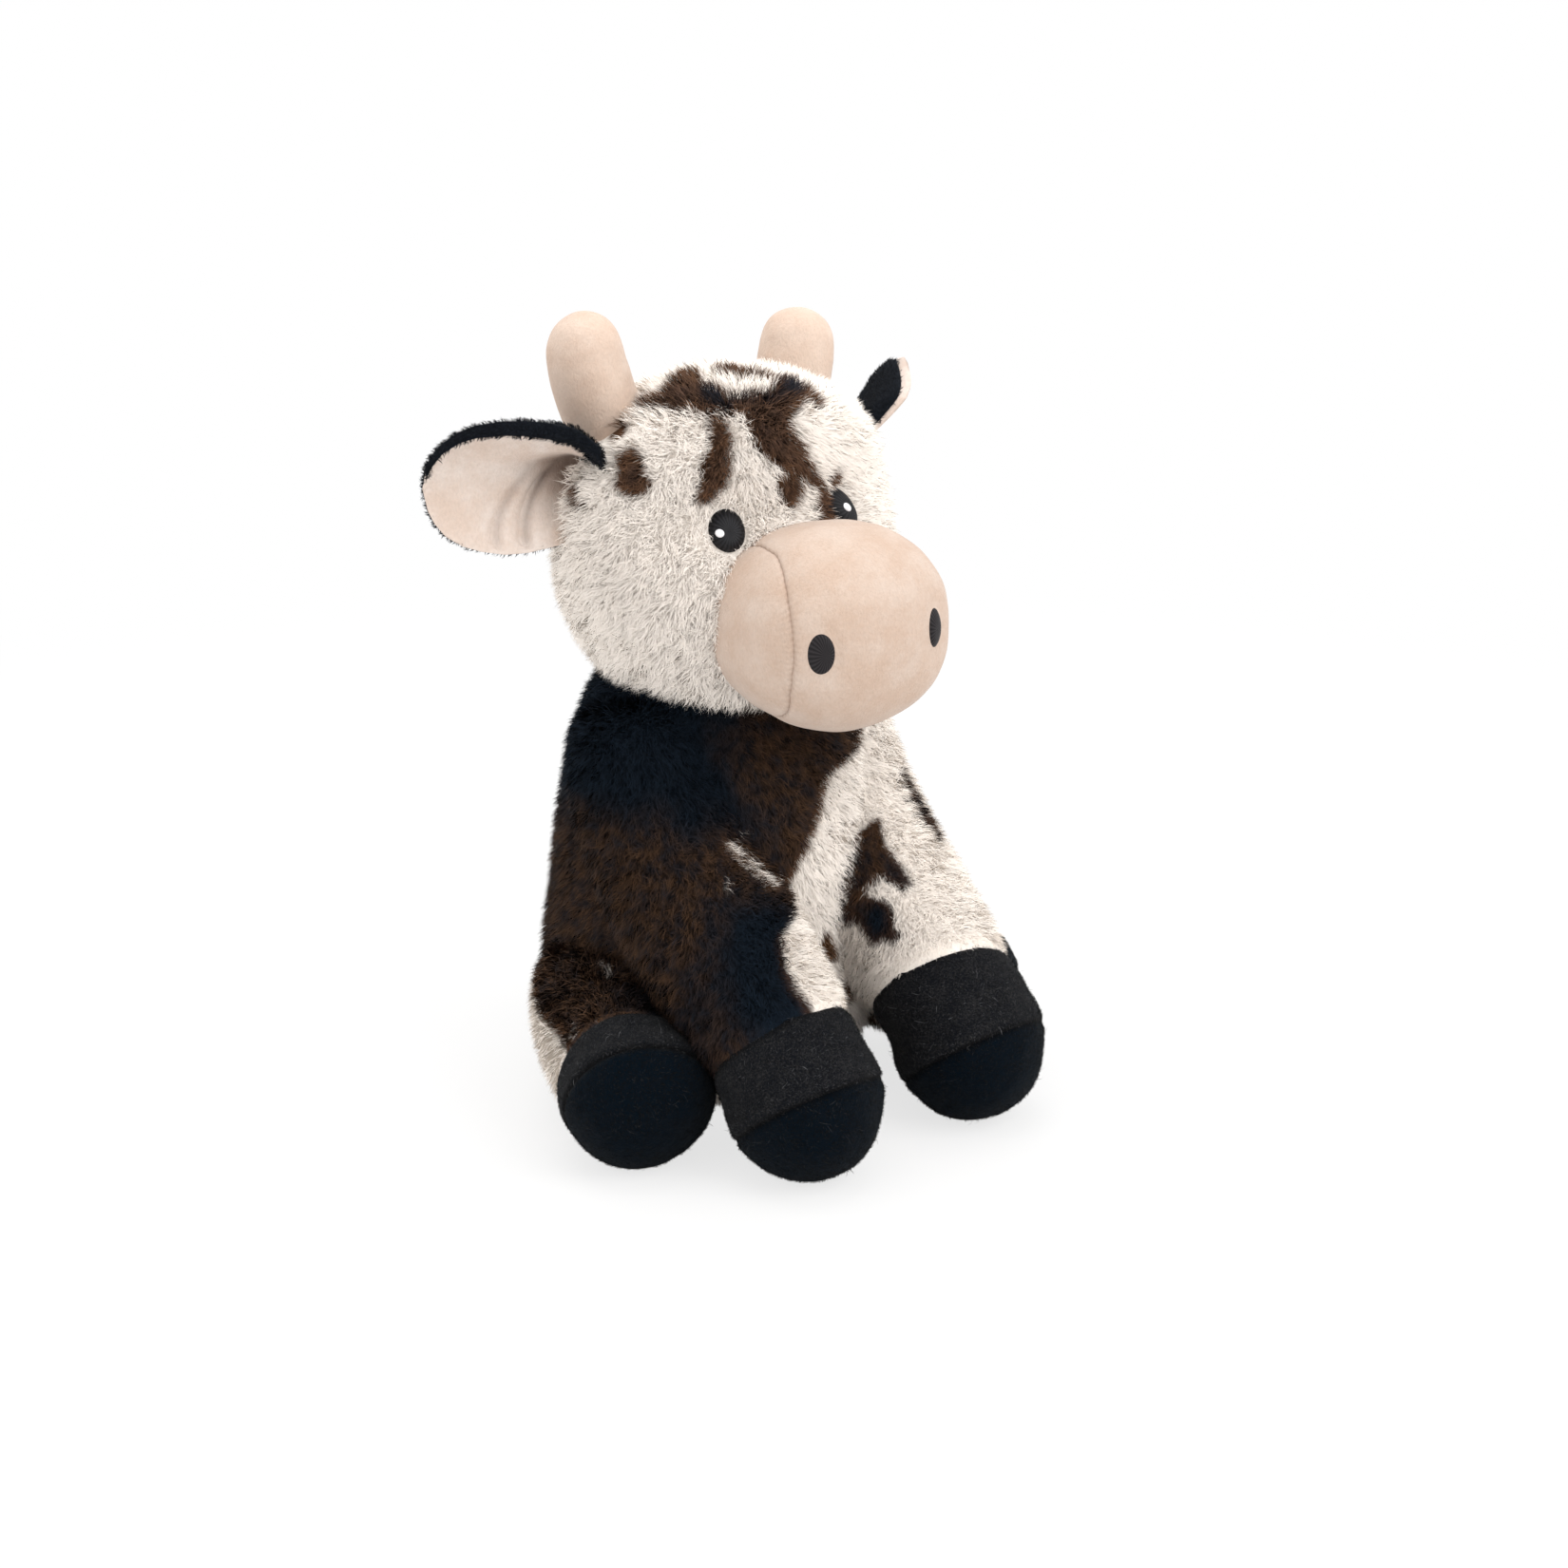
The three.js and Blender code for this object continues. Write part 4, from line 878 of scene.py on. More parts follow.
def muzzle_level(points):
    """The muzzle's own measure, 1 on its surface: |x|^m + r^m = 1 across and |y|^n + |z|^n = r^n round."""
    x, y, z = np.moveaxis(points - MUZZLE_CENTRE, -1, 0)
    z = np.abs(z) / muzzle_height(y, z)
    x = np.abs(x) / MUZZLE_HALF_WIDTH
    y = np.abs(y) / np.where(y < 0, MUZZLE_FRONT_DEPTH, MUZZLE_BACK_DEPTH)
    n, m = MUZZLE_SQUARENESS, MUZZLE_SIDE_SQUARENESS
    return (x ** m + (y ** n + z ** n) ** (m / n)) ** (1 / m)


def muzzle_grid(rows=300, columns=220):
    """The muzzle's surface: a ball whose poles are at its sides, swollen to level 1 along each ray."""
    a = np.linspace(0, math.pi, rows)[:, None]
    b = np.linspace(0, 2 * math.pi, columns, endpoint=False)
    x, y, z = np.cos(a) * np.ones_like(b), np.sin(a) * np.cos(b), np.sin(a) * np.sin(b)
    n, m = MUZZLE_SQUARENESS, MUZZLE_SIDE_SQUARENESS
    swell = (np.abs(x) ** m + (np.abs(y) ** n + np.abs(z) ** n) ** (m / n)) ** (-1 / m)
    y = y * swell * np.where(y < 0, MUZZLE_FRONT_DEPTH, MUZZLE_BACK_DEPTH)
    return MUZZLE_CENTRE + np.stack([x * swell * MUZZLE_HALF_WIDTH, y, z * swell * muzzle_height(y, z)], -1)


def seam_x(points):
    """How far out the muzzle's seams run, by the angle round its width from straight ahead, up positive."""
    _, y, z = np.moveaxis(points - MUZZLE_CENTRE, -1, 0)
    return np.interp(np.degrees(np.arctan2(z, -y)), *np.transpose(MUZZLE_SEAM))


def soft_swell(points, height, size, seed):
    """Uneven stuffing: smooth lumps of a height and a size."""
    return height * lumps(points, size, seed) + 0.4 * height * lumps(points, size / 2.3, seed + 5)


def oval_gap(points, centre, facing, half_width, half_height):
    """How far outside an oval each point lies, seen along the way that the oval faces, in millimetres."""
    level = unit(np.cross(UP, facing))
    gap = points - centre
    x, z = gap @ level / half_width, gap @ np.cross(facing, level) / half_height
    front = (gap @ facing) > -12
    return np.where(front, (np.hypot(x, z) - 1) * min(half_width, half_height), FAR_OFF)


# Embroidered ovals: the centre, the way each faces, the half width and the half height
EYES = {
    RIGHT: (np.array([-29.0, -46.0, 219.4]), unit(np.array([-0.42, -0.9, 0.12])), 6.6, 7.2),
    LEFT: (np.array([24.2, -46.2, 220.8]), unit(np.array([0.4, -0.9, 0.12])), 6.4, 7.6),
}
GLINTS = {
    RIGHT: (np.array([-32.2, -44.6, 219.0]), unit(np.array([-0.42, -0.9, 0.12])), 1.6, 1.4),
    LEFT: (np.array([23.4, -46.4, 221.0]), unit(np.array([0.4, -0.9, 0.12])), 1.8, 1.7),
}
NOSTRILS = {
    RIGHT: (np.array([-28.4, -95.0, 185.5]), np.array([0.0, -1.0, 0.0]), 3.6, 7.4),
    LEFT: (np.array([17.2, -100.7, 188.4]), np.array([0.0, -1.0, 0.0]), 4.2, 7.4),
}


def landed(level, start, direction, reach):
    """Where lines from the starts meet a surface that a level function is 1 on, by halving."""
    low, high = np.full(start.shape[:-1], -reach), np.full(start.shape[:-1], reach)
    for _ in range(18):
        middle = (low + high) / 2
        inside = level(start + middle[..., None] * direction) < 1
        low, high = np.where(inside, middle, low), np.where(inside, high, middle)
    return start + ((low + high) / 2)[..., None] * direction


def patch(name, oval, level, sink, rise, material, rows=16, columns=72):
    """An embroidered oval: a closed pad that follows its surface, domed as (1 - r^4), with its rim sunk."""
    centre, facing, half_width, half_height = oval
    across = unit(np.cross(UP, facing))
    upwards = np.cross(facing, across)
    r = np.sin(np.linspace(0, math.pi / 2, rows))[:, None, None]
    turn = np.linspace(0, 2 * math.pi, columns, endpoint=False)[:, None]
    flat = centre + r * (half_width * np.cos(turn) * across + half_height * np.sin(turn) * upwards)
    ground = landed(level, flat, facing, 16.0)
    top = ground + facing * (rise + sink) * (1 - r ** 4) - facing * sink
    under = ground[::-1] - facing * (sink + 1.2)
    points = np.concatenate([top, under[:-1], under[-1:].mean(axis=1, keepdims=True).repeat(columns, 1)])
    points[0] = points[0].mean(axis=0)
    return skin(name, points, material)


def settled(piece, body, slot, *nodes):
    """Lets a piece ride on a body in place of CAD nodes, which it hides. The finish slot is not used."""
    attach(piece, body)
    if nodes:
        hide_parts(*nodes)
    return piece


def coat(points, region, side, colours, shake=0.0):
    """The pile's colour at each point of a region, as cloth printed before it was sewn.

    inside says how far, in millimetres, a point lies inside the dark: its depth in the region's
    spots, or its distance past an edge that wanders with smooth noise. It is eased over the
    border, where a bell of tan fringes it. The dark is brown turned black by blackness. On the
    right foreleg a pale streak, as wide as the table by height says, parts the dark from a
    second border. shake moves the borders strand by strand."""
    x, y, z = np.moveaxis(points, -1, 0)
    soft = points + 1.0 * drift(points, 4.0, 61)
    cream, brown, black, tan = (np.asarray(colours[k], float) for k in ("cream", "brown", "black", "tan"))
    shade = 1 + 0.03 * lumps(points, 11.0, 3) + 0.025 * lumps(points, 3.0, 9)
    light = cream * shade[..., None]
    blotch = lumps(points, 22.0, 15) + 0.5 * lumps(points, 8.0, 17)
    wave = 1.5 * lumps(points, 6.0, 19)
    if region == "head":
        brown = np.asarray(colours["russet"], float)
        inside = 1.2 + 2.0 * ease(z, 248, 262) - spot_depth(soft, HEAD_SPOTS) - shake
        blackness = 0.9 * ease(1.6 - spot_depth(soft, HEAD_BLACKS), -1.2, 1.2)
    elif region == "foreleg" and side == RIGHT:
        past = x - np.interp(z, *np.transpose(INNER_LEG_EDGE))
        streak = past - np.interp(z, *np.transpose(LEG_STREAK))
        inside = np.maximum(-past - 0.4 * wave, streak) - shake
        low_front = ease(-y + 6 * blotch, 60, 80) * ease(x + 5 * blotch, -72, -52)
        blackness = np.maximum(ease(z + 9 * blotch - 0.15 * (x + 50), 104, 128), low_front)
    elif region == "foreleg":
        inside = 1.0 - spot_depth(soft, FAR_LEG_SPOTS) - shake
        blackness = np.maximum(ease(blotch, 0.0, 0.6), ease(-y, 66, 71))
    elif region == "hindleg" and side == RIGHT:
        inside = z - 42 - 0.1 * (x + 85) - wave - shake
        inside = np.where(x > -45, 6.0, inside)
        blackness = ease(blotch + 0.012 * (x + 80), 0.3, 1.2)
        # Painted light: on the right hind leg the brown is 1.6 times brighter, for the highlights on its
        # thigh
        brown = brown * 1.6
    elif region == "hindleg":
        inside = 0.8 - spot_depth(soft, HIND_SPOTS) - shake
        blackness = ease(blotch, -0.2, 0.5)
    else:
        chest = np.interp(z, *np.transpose(CHEST_EDGE))
        back = -4 + 15 * np.sin(z / 21.0 + 0.6)
        edge = chest + ease(y, -5, 28) * (back - chest)
        inside = np.minimum(edge - x - 0.7 * wave, np.where(x < -30, z - 40 - wave, FAR_OFF)) - shake
        inside = np.maximum(inside, 0.8 - spot_depth(soft, BELLY_SPOTS) - shake)
        blackness = np.maximum(ease(-x + 8 * blotch, 14, 36) * ease(z, 92, 120), ease(blotch, 0.5, 1.1))
    fleck = spot_depth(soft, PALE_FLECKS) + 0.5 * np.asarray(shake)
    dark = ease(np.minimum(inside, fleck + 0.4), -0.7, 0.7)
    fringe = bell(inside - 1.5, 1.8) * (0.6 if region == "torso" else 0.3)
    grain = ease(lumps(points, 1.5, 27) + 0.6 * lumps(points, 3.0, 29), -0.6, 0.8)
    blackness = 1 - (1 - np.clip(blackness, 0, 1)) * (1 - (0.4 if region == "head" else 0.8) * grain)
    deep = blended(blackness, brown * shade[..., None], black)
    deep = blended(np.clip(fringe, 0, 1), deep, tan)
    return light + dark[..., None] * (deep - light)


def keep(mask, *arrays):
    """The arrays, each cut to where the mask is true."""
    return [a[mask] for a in arrays]


def settings():
    """The scene's settings for the cow."""
    return bpy.context.scene.plush_cow


def colours():
    """The plush's colours by name."""
    return {name: getattr(settings(), name) for name in ("cream", "brown", "russet", "black", "tan")}


def furred(name, form, region, side, comb, finish, place, rise, hidden, scale, seed, outside=None):
    """Strands over a form, less the roots that lie inside the hidden forms.

    outside says how far each root lies past the pile's own border: none grows within it, and
    the strands near it are shorter. place settles each piece."""
    s = settings()
    rng = np.random.default_rng(SEED + seed)
    roots, normals = scattered(form.points, form.normals, s.density * (1.0), rng)
    rooted = roots - normals * SKIN_SINK
    mask = roots[:, 2] > 0.6
    for other in hidden:
        mask &= ~other(rooted)
    lengths = np.full(len(roots), s.pile_length / MM * scale)
    if outside is not None:
        away = outside(roots)
        mask &= away > 0
        lengths *= 0.55 + 0.45 * ease(away, 0, 7)
    roots, rooted, normals, lengths = keep(mask, roots, rooted, normals, lengths)
    lengths *= 0.8 + 0.4 * rng.random(len(roots))

    def paint(points):
        return coat(points, region, side, colours(), 0.5 * rng.normal(size=(len(points), 1)))

    for piece in pile(
        name, rooted, normals, comb(roots), lengths, paint, finish, rng,
        rise=rise, width=0.3 * 1.0, sink=SKIN_SINK,
    ):
        place(piece)


def comb_head(points):
    """Down the cheeks and away from the muzzle; over the crown, out from its middle."""
    away = points - MUZZLE_CENTRE - np.array([0, 30.0, 0])
    return unit(unit(away * np.array([1.0, 0.6, 1.0])) * 0.55 + np.array([0, 0.1, -0.75]))


def combed(*direction):
    """A comb that lays all the pile one way."""
    return lambda points: np.broadcast_to(np.array(direction), points.shape)


def inside_of(form, margin):
    """A test of whether places lie inside a form by at least a margin."""
    return lambda points: form.covers(points, margin)


def inside_muzzle(margin):
    """A test of whether places lie inside the muzzle: its measure under 1 less margin over size."""
    return lambda points: muzzle_level(points) < 1 - margin / MUZZLE_SIZE


class CowOperator:
    bl_options = {"REGISTER"}


class COW_OT_head(CowOperator, bpy.types.Operator):
    """Make the head's plush cover"""

    bl_idname = "cow.head"
    bl_label = "Head"

    def execute(self, context):
        form = head_form()
        tint = coat(form.points, "head", 0, colours())
        points = form.points - form.normals * SKIN_SINK
        ground = skin("head_ground", points, ground_finish("PlushGroundHead"), tint)
        settled(ground, "head", "plush_light", "head_cover", "head_filling")
        off_eyes = lambda points: np.minimum.reduce([oval_gap(points, *oval) for oval in EYES.values()])
        bare = [lambda points: off_eyes(points) < 0.6, inside_muzzle(2.5)]
        bare += [inside_of(horn_form(side), 1.5) for side in SIDES] + [inside_ear(side) for side in SIDES]
        furred(
            "head_pile", form, "head", 0, comb_head, pile_finish("PlushPileHead"),
            lambda piece: settled(piece, "head", "plush_light"), 0.78, bare, 1.0, 1,
            lambda points: off_eyes(points) * 1.2,
        )
        return {"FINISHED"}


class COW_OT_body(CowOperator, bpy.types.Operator):
    """Make the body's plush cover"""

    bl_idname = "cow.body"
    bl_label = "Body"

    def execute(self, context):
        form = torso_form()
        points = form.points - form.normals * SKIN_SINK
        points[..., 2] = np.maximum(points[..., 2], 0.5)
        tint = coat(form.points, "torso", 0, colours())
        ground = skin("body_ground", points, ground_finish("PlushGroundBody"), tint)
        settled(ground, "torso", "plush_dark", "torso_cover", "torso_filling", "seat_bean_bag")
        hidden = [inside_of(head_form(), 10.0), inside_muzzle(6.0)]
        hidden += [inside_of(make(side), 8.0) for make in (foreleg_form, hindleg_form) for side in SIDES]
        furred(
            "body_pile", form, "torso", 0, combed(0.0, -0.12, -1.0), pile_finish("PlushPileBody"),
            lambda piece: settled(piece, "torso", "plush_dark"), 0.76, hidden, 0.95, 2,
        )
        return {"FINISHED"}


def leg(kind, side, form, seam_share, sole_share, sole_facing, hidden, comb, seam_tip=0.0):
    """A leg: its plush sleeve, its fleece hoof band and its fleece sole.

    seam_tip leans the band's upper seam, by its tangent, up on the inner side."""
    word = WORDS[side]
    body, slot = f"{kind}_{word}", "plush_dark" if side == RIGHT else "plush_light"
    named = lambda part: f"{kind}_{part}_{word}"
    spine = run_length(form.centre)
    at = lambda share, values: np.stack([np.interp(share * spine[-1], spine, c) for c in values.T])
    seam, sole = at(seam_share, form.centre), at(sole_share, form.centre)
    seam_facing = unit(at(seam_share, form.tangent) - seam_tip * side * SIDEWAYS)
    past_seam = lambda points: (points - seam) @ seam_facing
    past_sole = lambda points: (points - sole) @ sole_facing

    # Sleeve, whose ground lies deep under the pile and comes up at the seam
    first = np.zeros(form.points.shape[1])
    last = crossing(past_seam(form.points))
    sunk = 1.2 + (SKIN_SINK - 1.2) * ease(-past_seam(form.points), 0, 10)
    sunk = form.points - form.normals * sunk[..., None]
    sunk[..., 2] = np.maximum(sunk[..., 2], 0.5)
    sleeve = between_rings(sunk, first, last + 1.5, 120)
    tint = coat(between_rings(form.points, first, last + 1.5, 120), kind, side, colours())
    ground = skin(named("ground"), sleeve, ground_finish(f"PlushGround_{body}"), tint)

    def place(piece):
        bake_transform(piece)

    place(ground)
    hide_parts(named("cover"), named("filling"))
    furred(
        named("pile"), form, kind, side, comb, pile_finish(f"PlushPile_{body}"), place, 0.76,
        hidden, 0.92, 10 + (side > 0) + 2 * (kind == "hindleg"), lambda points: -past_seam(points),
    )

    # Hoof: fuller between its two seams, and drawn in along them
    cloth = form.points + form.normals * (
        0.5 * lumps(form.points, 16.0, 71) + 0.3 * lumps(form.points, 6.0, 73)
        - 1.5 * bell(past_seam(form.points), 1.8)
        - 1.1 * bell(past_sole(form.points), 1.0) * (1 + 0.35 * lumps(form.points, 3.2, 75))
        + 1.2 * bell(past_sole(form.points) + 1.0, 7.0)
    )[..., None]
    cloth[..., 2] = np.maximum(cloth[..., 2], 0.2)
    split = crossing(past_sole(form.points))
    fleece = settings().fleece
    for part, low, high, rows, finish, seams in (
        (
            "band", last, split, 70, fleece_finish(f"Fleece_{body}", fleece, (0.03, 0.029, 0.029)),
            ((past_sole, 1.2), (past_seam, 2.0)),
        ),
        (
            "sole", split, np.full_like(split, len(cloth) - 1), 50,
            fleece_finish(f"FleeceSole_{body}", scaled(fleece, (0.15, 0.65, 0.95)), fleece),
            ((past_sole, 1.2),),
        ),
    ):
        points = between_rings(cloth, low, high, rows)
        shade = sum(bell(past(points), width) for past, width in seams)
        piece = skin(named(part), points, finish, grey(shade))
        settled(piece, body, "fleece_black", named(f"hoof_{part}"))
    fuzz(named("fuzz"), cloth, past_seam, past_sole, body)


def fuzz(name, cloth, past_seam, past_sole, body):
    """The fleece's short fibres, with a few long pale ones caught on it."""
    rng = np.random.default_rng(SEED + len(name) + len(body) * 3)
    roots, normals = scattered(cloth, facing_out(cloth), 1.9, rng)
    roots, normals = keep((past_seam(roots) > 0.4) & (roots[:, 2] > 1.6), roots, normals)
    count = len(roots)
    stray = rng.random(count) < 0.006
    shade = np.where(stray, 18.0, 0.6 + 11.0 * rng.random(count) ** 4)[:, None]
    dim = (1.0 + 0.3 * lumps(roots, 5.0, 97)) * np.where(past_sole(roots) > 0, 0.35, 1.15)
    tint = np.asarray(FUZZ_COLOUR) * shade * dim[:, None]
    lengths = np.where(stray, 3.6, 1.3) * (0.7 + 0.6 * rng.random(count))
    for piece in pile(
        name, roots - 0.2 * normals, normals, drift(roots, 9.0, 101), lengths, lambda p: tint[:, None],
        pile_finish(f"Fuzz_{body}"), rng, rise=0.55, width=0.16, clump=3.0, gather=0.1,
    ):
        settled(piece, body, "fleece_black")


def sole_direction(side, tilt, turn):
    """The way a sole faces: tipped up from straight down, and turned out from straight ahead."""
    tip, out = math.radians(tilt), math.radians(turn)
    return np.array([side * math.sin(tip) * math.sin(out), -math.sin(tip) * math.cos(out), -math.cos(tip)])


class COW_OT_forelegs(CowOperator, bpy.types.Operator):
    """Make both forelegs"""

    bl_idname = "cow.forelegs"
    bl_label = "Forelegs"

    def execute(self, context):
        hidden = [inside_of(head_form(), 10.0), inside_of(torso_form(), 8.0), inside_muzzle(6.0)]
        for side in SIDES:
            lower, tip = (0.02, 0.18) if side == LEFT else (0.0, 0.0)
            leg(
                "foreleg", side, foreleg_form(side), FORE_SEAM_SHARE - lower, FORE_SOLE_SHARE,
                sole_direction(side, *FORE_SOLE_TURNS), hidden, combed(0.0, -0.5, -1.0),
                tip,
            )
        return {"FINISHED"}


class COW_OT_hindlegs(CowOperator, bpy.types.Operator):
    """Make both hind legs"""

    bl_idname = "cow.hindlegs"
    bl_label = "Hind legs"

    def execute(self, context):
        for side in SIDES:
            hidden = [inside_of(torso_form(), 8.0), inside_of(foreleg_form(side), 8.0)]
            leg(
                "hindleg", side, hindleg_form(side), HIND_SEAM_SHARE, HIND_SOLE_SHARE,
                sole_direction(side, *HIND_SOLE_TURNS), hidden, combed(0.25 * side, -0.7, -0.55),
            )
        return {"FINISHED"}


class COW_OT_muzzle(CowOperator, bpy.types.Operator):
    """Make the muzzle's three velour panels"""

    bl_idname = "cow.muzzle"
    bl_label = "Muzzle"

    def execute(self, context):
        grid = muzzle_grid()
        normals = facing_out(grid)
        x = grid[..., 0]
        left_cut, right_cut = crossing(seam_x(grid) - x), crossing(-seam_x(grid) - x)
        start, end = np.zeros(grid.shape[1]), np.full(grid.shape[1], len(grid) - 1.0)
        velour = settings().velour
        finish = velour_finish("VelourMuzzle", velour, scaled(velour, (0.88, 0.8, 0.74)))
        for name, low, high, rows, nodes in (
            ("muzzle_cheek_left", start, left_cut, 90, ("muzzle_side_left",)),
            ("muzzle_front", left_cut, right_cut, 190, ("muzzle_nose_panel", "muzzle_filling")),
            ("muzzle_cheek_right", right_cut, end, 90, ("muzzle_side_right",)),
        ):
            base, out = between_rings(grid, low, high, rows), unit(between_rings(normals, low, high, rows))
            off_seam = np.abs(np.abs(base[..., 0]) - seam_x(base))
            around = np.arctan2(base[..., 2] - MUZZLE_CENTRE[2], -(base[..., 1] - MUZZLE_CENTRE[1]))
            stitches = np.cos(around * 62.0 + 0.8 * lumps(base, 6.0, 83))
            near = np.minimum.reduce([oval_gap(base, *oval) for oval in NOSTRILS.values()])
            # Uneven stuffing, the seam's sharp and soft groove, its stitches, and a dip round the nostrils
            offset = (
                soft_swell(base, 0.5, 17.0, 81) * ease(near, 2, 9)
                - 0.9 * np.exp(-off_seam / 0.5) - 0.35 * bell(off_seam, 4.0)
                + 0.2 * stitches * bell(off_seam - 0.9, 1.1)
                - 0.5 * bell(near - 0.5, 1.6)
            )
            line = bell(off_seam, 0.6) * (0.28 + 0.22 * stitches)
            panel = skin(name, base + out * offset[..., None], finish, grey(line))
            settled(panel, "head", "velour_beige", *nodes)
        return {"FINISHED"}


class COW_OT_horns(CowOperator, bpy.types.Operator):
    """Make both velour horns"""

    bl_idname = "cow.horns"
    bl_label = "Horns"

    def execute(self, context):
        velour = scaled(settings().velour, (1.14, 1.12, 1.1))
        finish = velour_finish("VelourHorns", velour, scaled(velour, (0.9, 0.84, 0.8)))
        for side in SIDES:
            form = horn_form(side)
            swell = soft_swell(form.points, 0.45, 12.0, 91)
            if side == LEFT:
                x, y, z = np.moveaxis((form.points - HORN_CREASE) / HORN_CREASE_SIZE, -1, 0)
                swell -= 0.9 * np.exp(-x ** 2 - z ** 2 - y ** 2)
            form.settle(swell)
            word = WORDS[side]
            horn = skin(f"horn_{word}", form.points, finish, np.zeros(form.points.shape))
            settled(horn, "head", "velour_beige", f"horn_cover_{word}", f"horn_filling_{word}")
        return {"FINISHED"}


def ear_frame(side):
    """The ear's own directions: along it, up across it, the way it faces, and its root."""
    sweep, lift = math.radians(EAR_SWEEPS[side]), math.radians(EAR_RAISES[side])
    reach = math.cos(lift)
    along = np.array([side * math.cos(sweep) * reach, math.sin(sweep) * reach, math.sin(lift)])
    level = -side * unit(np.cross(UP, along))
    turn = side * math.radians(EAR_FACE_DOWN)
    facing = level * math.cos(turn) + np.cross(along, level) * math.sin(turn)
    upward = unit(np.cross(facing, along) * side)
    root = EAR_ROOT * np.array([side, 1, 1]) - EAR_ROOT_RADIUS[side] * along + EAR_SHIFTS[side]
    return root, along, upward, facing


def ear_arc(side, s, t):
    """An ear's section at a share of its length: an arc of radius width / sin(cup), turned by t cup.

    Gives the half width, the cup's angle, and how far a place lies over and out from the middle."""
    ends, upper, lower = np.transpose(EAR_WIDTH_SHARES[side])
    width = EAR_HALF_WIDTH * np.where(t > 0, np.interp(s, ends, upper), np.interp(s, ends, lower))
    cup = np.radians(np.where(t > 0, 84 - 50 * s, 50 - 20 * s))
    over = width * np.sin(t * cup) / np.sin(cup)
    return width, cup, over, width * (1 - np.cos(t * cup)) / np.sin(cup) - 6.0


def ear_sheet(side, s, t, lift):
    """A leaf rolled about its length: s runs from root to tip, t from the lower edge (-1) to the upper (1).

    Across, it is ear_arc's section, cupped deeper above its middle; lift moves each point along
    the arc's own normal. Near the root four smooth steps are added to the way out: the upper part
    is folded forward, its flap drawn along the ear, the lower part sunk into a trough below the
    fold, and a hood stands over the root. All of them fade towards the tip."""
    root, along, upward, facing = ear_frame(side)
    _, cup, over, out = ear_arc(side, s, t)
    flap = EAR_FLAPS[side] * ease(t, 0.1, 0.8) * (1 - ease(s, 0.0, 0.35))
    flat = root + (EAR_LENGTHS[side] * s - flap)[..., None] * along + over[..., None] * upward
    fold = 0.02 + 0.24 * ease(s, 0.0, 0.25)
    step = ease((t - fold) / (0.1 + 0.55 * s), -0.5, 0.5)
    fade = 1 - ease(s, 0.2, 0.8)
    trough = 5.0 * (1 - step) * ease(t, -0.9, fold) * fade * ease(s, 0.0, 0.12)
    hood = EAR_HOODS[side] * (1 - ease(s, 0.02, 0.22)) * ease(t, -0.7, -0.1)
    out = out + 3.5 * step * fade + 0.4 * flap - trough + hood
    normal = np.cos(t * cup)[..., None] * facing - np.sin(t * cup)[..., None] * upward
    return flat + out[..., None] * facing + lift[..., None] * normal


def inside_ear(side):
    """Whether places lie where an ear's root meets the head: within its arc there, by a few millimetres."""
    root, along, upward, facing = ear_frame(side)

    def test(points):
        gap = points - root
        over = gap @ upward
        s = np.full(over.shape, 0.07)
        width, cup, _, _ = ear_arc(side, s, over)
        share = np.clip(over / width, -1, 1)
        _, _, _, out = ear_arc(side, s, np.arcsin(share * np.sin(cup)) / cup)
        away = gap @ facing - out
        return (np.abs(over) < width + 1) & (gap @ along > -9) & (np.abs(away) < 5)

    return test


def ear_brim(s, t):
    """How far into the ear's black brim a place lies, 0 at its border and 1 at the ear's edge or root."""
    top = np.interp(s, (0, 0.14, 0.28, 0.49, 0.7, 0.82, 1), (0.5, 0.54, 0.7, 0.8, 0.82, 0.9, 0.97))
    root = 0.17 * ease(t, -0.12, 0.12) + 1e-6
    return np.clip(np.maximum((t - top) / (1 - top), (root - s) / root), 0, 1)


def ear_crease(s, t, at, bend, width):
    """A bowed line across the ear's lower half: a bell about s = at - bend (t + 0.85)^2, faded out."""
    return bell(s - at + bend * (t + 0.85) ** 2, width) * ease(-t, -0.15, 0.2) * ease(t, -1.0, -0.8)


def pinched(points):
    """The grid with its first and last row each drawn together to one place."""
    points[0], points[-1] = points[0].mean(axis=0), points[-1].mean(axis=0)
    return points


